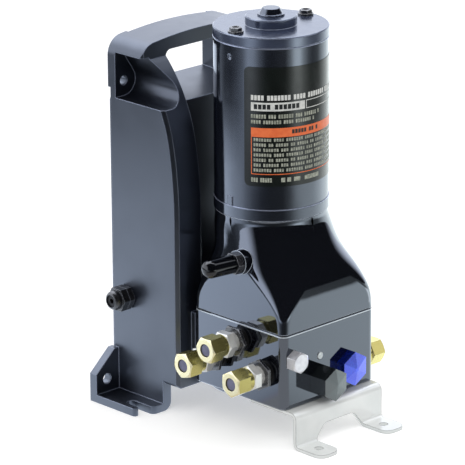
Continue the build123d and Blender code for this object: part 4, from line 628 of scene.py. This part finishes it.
def table_gloss(tree, place):
    """Table's colour in reflections, by bearing and distance."""
    forward, right = camera_axes()
    toward = Vector((-forward.x, -forward.y, 0)).normalized()
    sideways = add(tree, "ShaderNodeVectorMath", {0: place}, {1: right}, operation="DOT_PRODUCT")
    ahead = add(tree, "ShaderNodeVectorMath", {0: place}, {1: toward}, operation="DOT_PRODUCT")
    bearing = add(tree, "ShaderNodeMath", {0: sideways.outputs["Value"], 1: ahead.outputs["Value"]},
                  operation="ARCTAN2").outputs["Value"]
    turn = add(tree, "ShaderNodeMapRange", {"Value": bearing}, clamp=False, From_Min=-pi,
               From_Max=pi).outputs["Result"]
    far_ring = add(tree, "ShaderNodeValToRGB", {"Fac": turn}, stops=ring_stops(FAR_RING))
    near_ring = add(tree, "ShaderNodeValToRGB", {"Fac": turn}, stops=ring_stops(NEAR_RING))
    distance = add(tree, "ShaderNodeVectorMath", {0: place}, operation="LENGTH").outputs["Value"]
    near = add(tree, "ShaderNodeMapRange", {"Value": distance}, interpolation_type="SMOOTHSTEP",
               From_Min=RING_CHANGE[0], From_Max=RING_CHANGE[1], To_Min=1.0, To_Max=0.0)
    under = add(tree, "ShaderNodeMapRange", {"Value": distance}, interpolation_type="SMOOTHSTEP",
                From_Min=FOOT_FADE[1], From_Max=FOOT_FADE[0], To_Max=FOOT_GLOW)
    rings = add(tree, "ShaderNodeMix", {0: near.outputs["Result"], 6: far_ring.outputs["Color"],
                                        7: near_ring.outputs["Color"]}, data_type="RGBA")
    lit = add(tree, "ShaderNodeVectorMath", {0: rings.outputs[2], 1: under.outputs["Result"]},
              operation="MAXIMUM")
    return lit.outputs["Vector"]


def white_table():
    """Matte white laminate, lifted to white for the camera, with its own brightness in the gloss."""
    material, tree, place = new_material("white_table")
    path = add(tree, "ShaderNodeLightPath")
    matte = add(tree, "ShaderNodeBsdfDiffuse", Color=grey(FLOOR_WHITE))
    lift = add(tree, "ShaderNodeEmission", {"Strength": path.outputs["Is Camera Ray"]},
               Color=grey(FLOOR_LIFT))
    seen = add(tree, "ShaderNodeAddShader", {0: matte.outputs["BSDF"], 1: lift.outputs["Emission"]})
    mirrored = add(tree, "ShaderNodeEmission", {"Color": table_gloss(tree, place)}, Strength=RING_GAIN)
    both = add(tree, "ShaderNodeMixShader", {0: path.outputs["Is Glossy Ray"], 1: seen.outputs["Shader"],
                                             2: mirrored.outputs["Emission"]})
    add(tree, "ShaderNodeOutputMaterial", {"Surface": both.outputs["Shader"]})
    return material


def make_floor():
    mesh = bmesh.new()
    bmesh.ops.create_grid(mesh, x_segments=1, y_segments=1, size=FLOOR_SIZE / 2)
    data = bpy.data.meshes.new("floor")
    mesh.to_mesh(data)
    mesh.free()
    data.materials.append(white_table())
    floor = bpy.data.objects.new("floor", data)
    bpy.context.scene.collection.objects.link(floor)


# Room: white to the camera, even light on matte surfaces, and separate walls in the gloss

ROOM_LIGHT = 0.9
ROOM_TINT = "#eef3ff"
BACK_GLOW = 2.0         # white wall behind the unit
LAMPS_GLOW = 3.5        # bank of lamps overhead
LEFT_GLOW = 1.9         # white wall on the left
DARK_GLOW = 0.02        # unlit side of the room
# Each wall is a product of smooth steps: the way a step runs, its start and end, and the brightness there
ROOM_WALLS = (
    (("depth", 0.50, 0.88, 0.0, BACK_GLOW),),
    (("high", 0.50, 0.62, 0.0, LAMPS_GLOW), ("depth", -0.15, 0.10, 0.0, 1.0),
     ("side", 0.30, 0.60, 1.0, 0.35)),
    (("side", -0.55, -0.85, 0.0, LEFT_GLOW), ("high", 0.50, 0.74, 1.0, 0.0)),
    (("high", -1.0, -0.5, 0.0, DARK_GLOW),),
)


def wall_glow(tree, ways, steps):
    """Brightness of one wall."""
    glow = None
    for way, start, end, before, after in steps:
        step = add(tree, "ShaderNodeMapRange", {"Value": ways[way]}, interpolation_type="SMOOTHSTEP",
                   From_Min=start, From_Max=end, To_Min=before, To_Max=after).outputs["Result"]
        if glow is None:
            glow = step
        else:
            glow = add(tree, "ShaderNodeMath", {0: glow, 1: step}, operation="MULTIPLY").outputs["Value"]
    return glow


def room_glow(tree):
    """Brightness of the room in reflections: the brightest wall in each direction."""
    forward, right = camera_axes()
    axes = {"depth": Vector((forward.x, forward.y, 0)).normalized(), "high": Vector((0, 0, 1)), "side": right}
    look = add(tree, "ShaderNodeTexCoord").outputs["Generated"]
    ways = {}
    for name, axis in axes.items():
        along = add(tree, "ShaderNodeVectorMath", {0: look}, {1: axis}, operation="DOT_PRODUCT")
        ways[name] = along.outputs["Value"]
    level = wall_glow(tree, ways, ROOM_WALLS[0])
    for steps in ROOM_WALLS[1:]:
        wall = wall_glow(tree, ways, steps)
        level = add(tree, "ShaderNodeMath", {0: level, 1: wall}, operation="MAXIMUM").outputs["Value"]
    return level


def make_world():
    world = bpy.data.worlds.new("studio")
    bpy.context.scene.world = world
    world.use_nodes = True
    tree = world.node_tree
    tree.nodes.clear()
    path = add(tree, "ShaderNodeLightPath")
    soft = add(tree, "ShaderNodeBackground", Color=grey(1), Strength=ROOM_LIGHT)
    gloss = add(tree, "ShaderNodeBackground", {"Strength": room_glow(tree)}, Color=rgb(ROOM_TINT))
    white = add(tree, "ShaderNodeBackground", Color=grey(1), Strength=1.0)
    shader = soft.outputs["Background"]
    for ray, seen in (("Is Glossy Ray", gloss), ("Is Camera Ray", white)):
        links = {0: path.outputs[ray], 1: shader, 2: seen.outputs["Background"]}
        shader = add(tree, "ShaderNodeMixShader", links).outputs["Shader"]
    add(tree, "ShaderNodeOutputWorld", {"Surface": shader})


# Lamps

UNIT_MIDDLE = (0, 0, 0.12)
KEY_AT = (-0.9, -0.5, 1.5)
KEY_SIDE = 1.0
KEY_WATTS = 6
FILL_AT = (1.2, -0.6, 0.9)
FILL_SIDE = 0.9
FILL_WATTS = 3
# Small card beside the right-hand nut, for the reflection in its flats
CARD_AT = (0.118, -0.097, 0.074)
CARD_AIM = (0.064, -0.047, 0.043)
CARD_SIDE = 0.034
CARD_WATTS = 0.0042


def area_lamp(name, at, side, watts, aim=UNIT_MIDDLE, glossy=False):
    """Square lamp that faces a point; it shows either in matte surfaces or, if glossy, in reflections."""
    data = bpy.data.lights.new(name, "AREA")
    data.shape = "SQUARE"
    data.size = side
    data.energy = watts
    lamp = bpy.data.objects.new(name, data)
    place = Vector(at)
    turn = (place - Vector(aim)).to_track_quat("Z", "Y").to_matrix().to_4x4()
    lamp.matrix_world = Matrix.Translation(place) @ turn
    lamp.visible_camera = False
    lamp.visible_glossy = glossy
    lamp.visible_diffuse = not glossy
    bpy.context.scene.collection.objects.link(lamp)


def make_lights():
    area_lamp("key_softbox", KEY_AT, KEY_SIDE, KEY_WATTS)
    area_lamp("fill_softbox", FILL_AT, FILL_SIDE, FILL_WATTS)
    area_lamp("right_nut_card", CARD_AT, CARD_SIDE, CARD_WATTS, CARD_AIM, glossy=True)


finishes = {**coats(), **label_finishes(), **bright_metals(), **dark_metals(), **mouldings(),
            **motor_finishes(), **electronic_finishes()}
dress_nodes(finishes)
print_label(finishes)
transit_plugs(finishes["plug_plastic"])
# Painted highlight beads at the can's joints
rim_highlight_beads(finishes["rim_highlight"])
# Painted highlight band at the block's top edge
seam_highlight_band(finishes["seam_highlight"])
make_camera()
make_floor()
make_world()
make_lights()
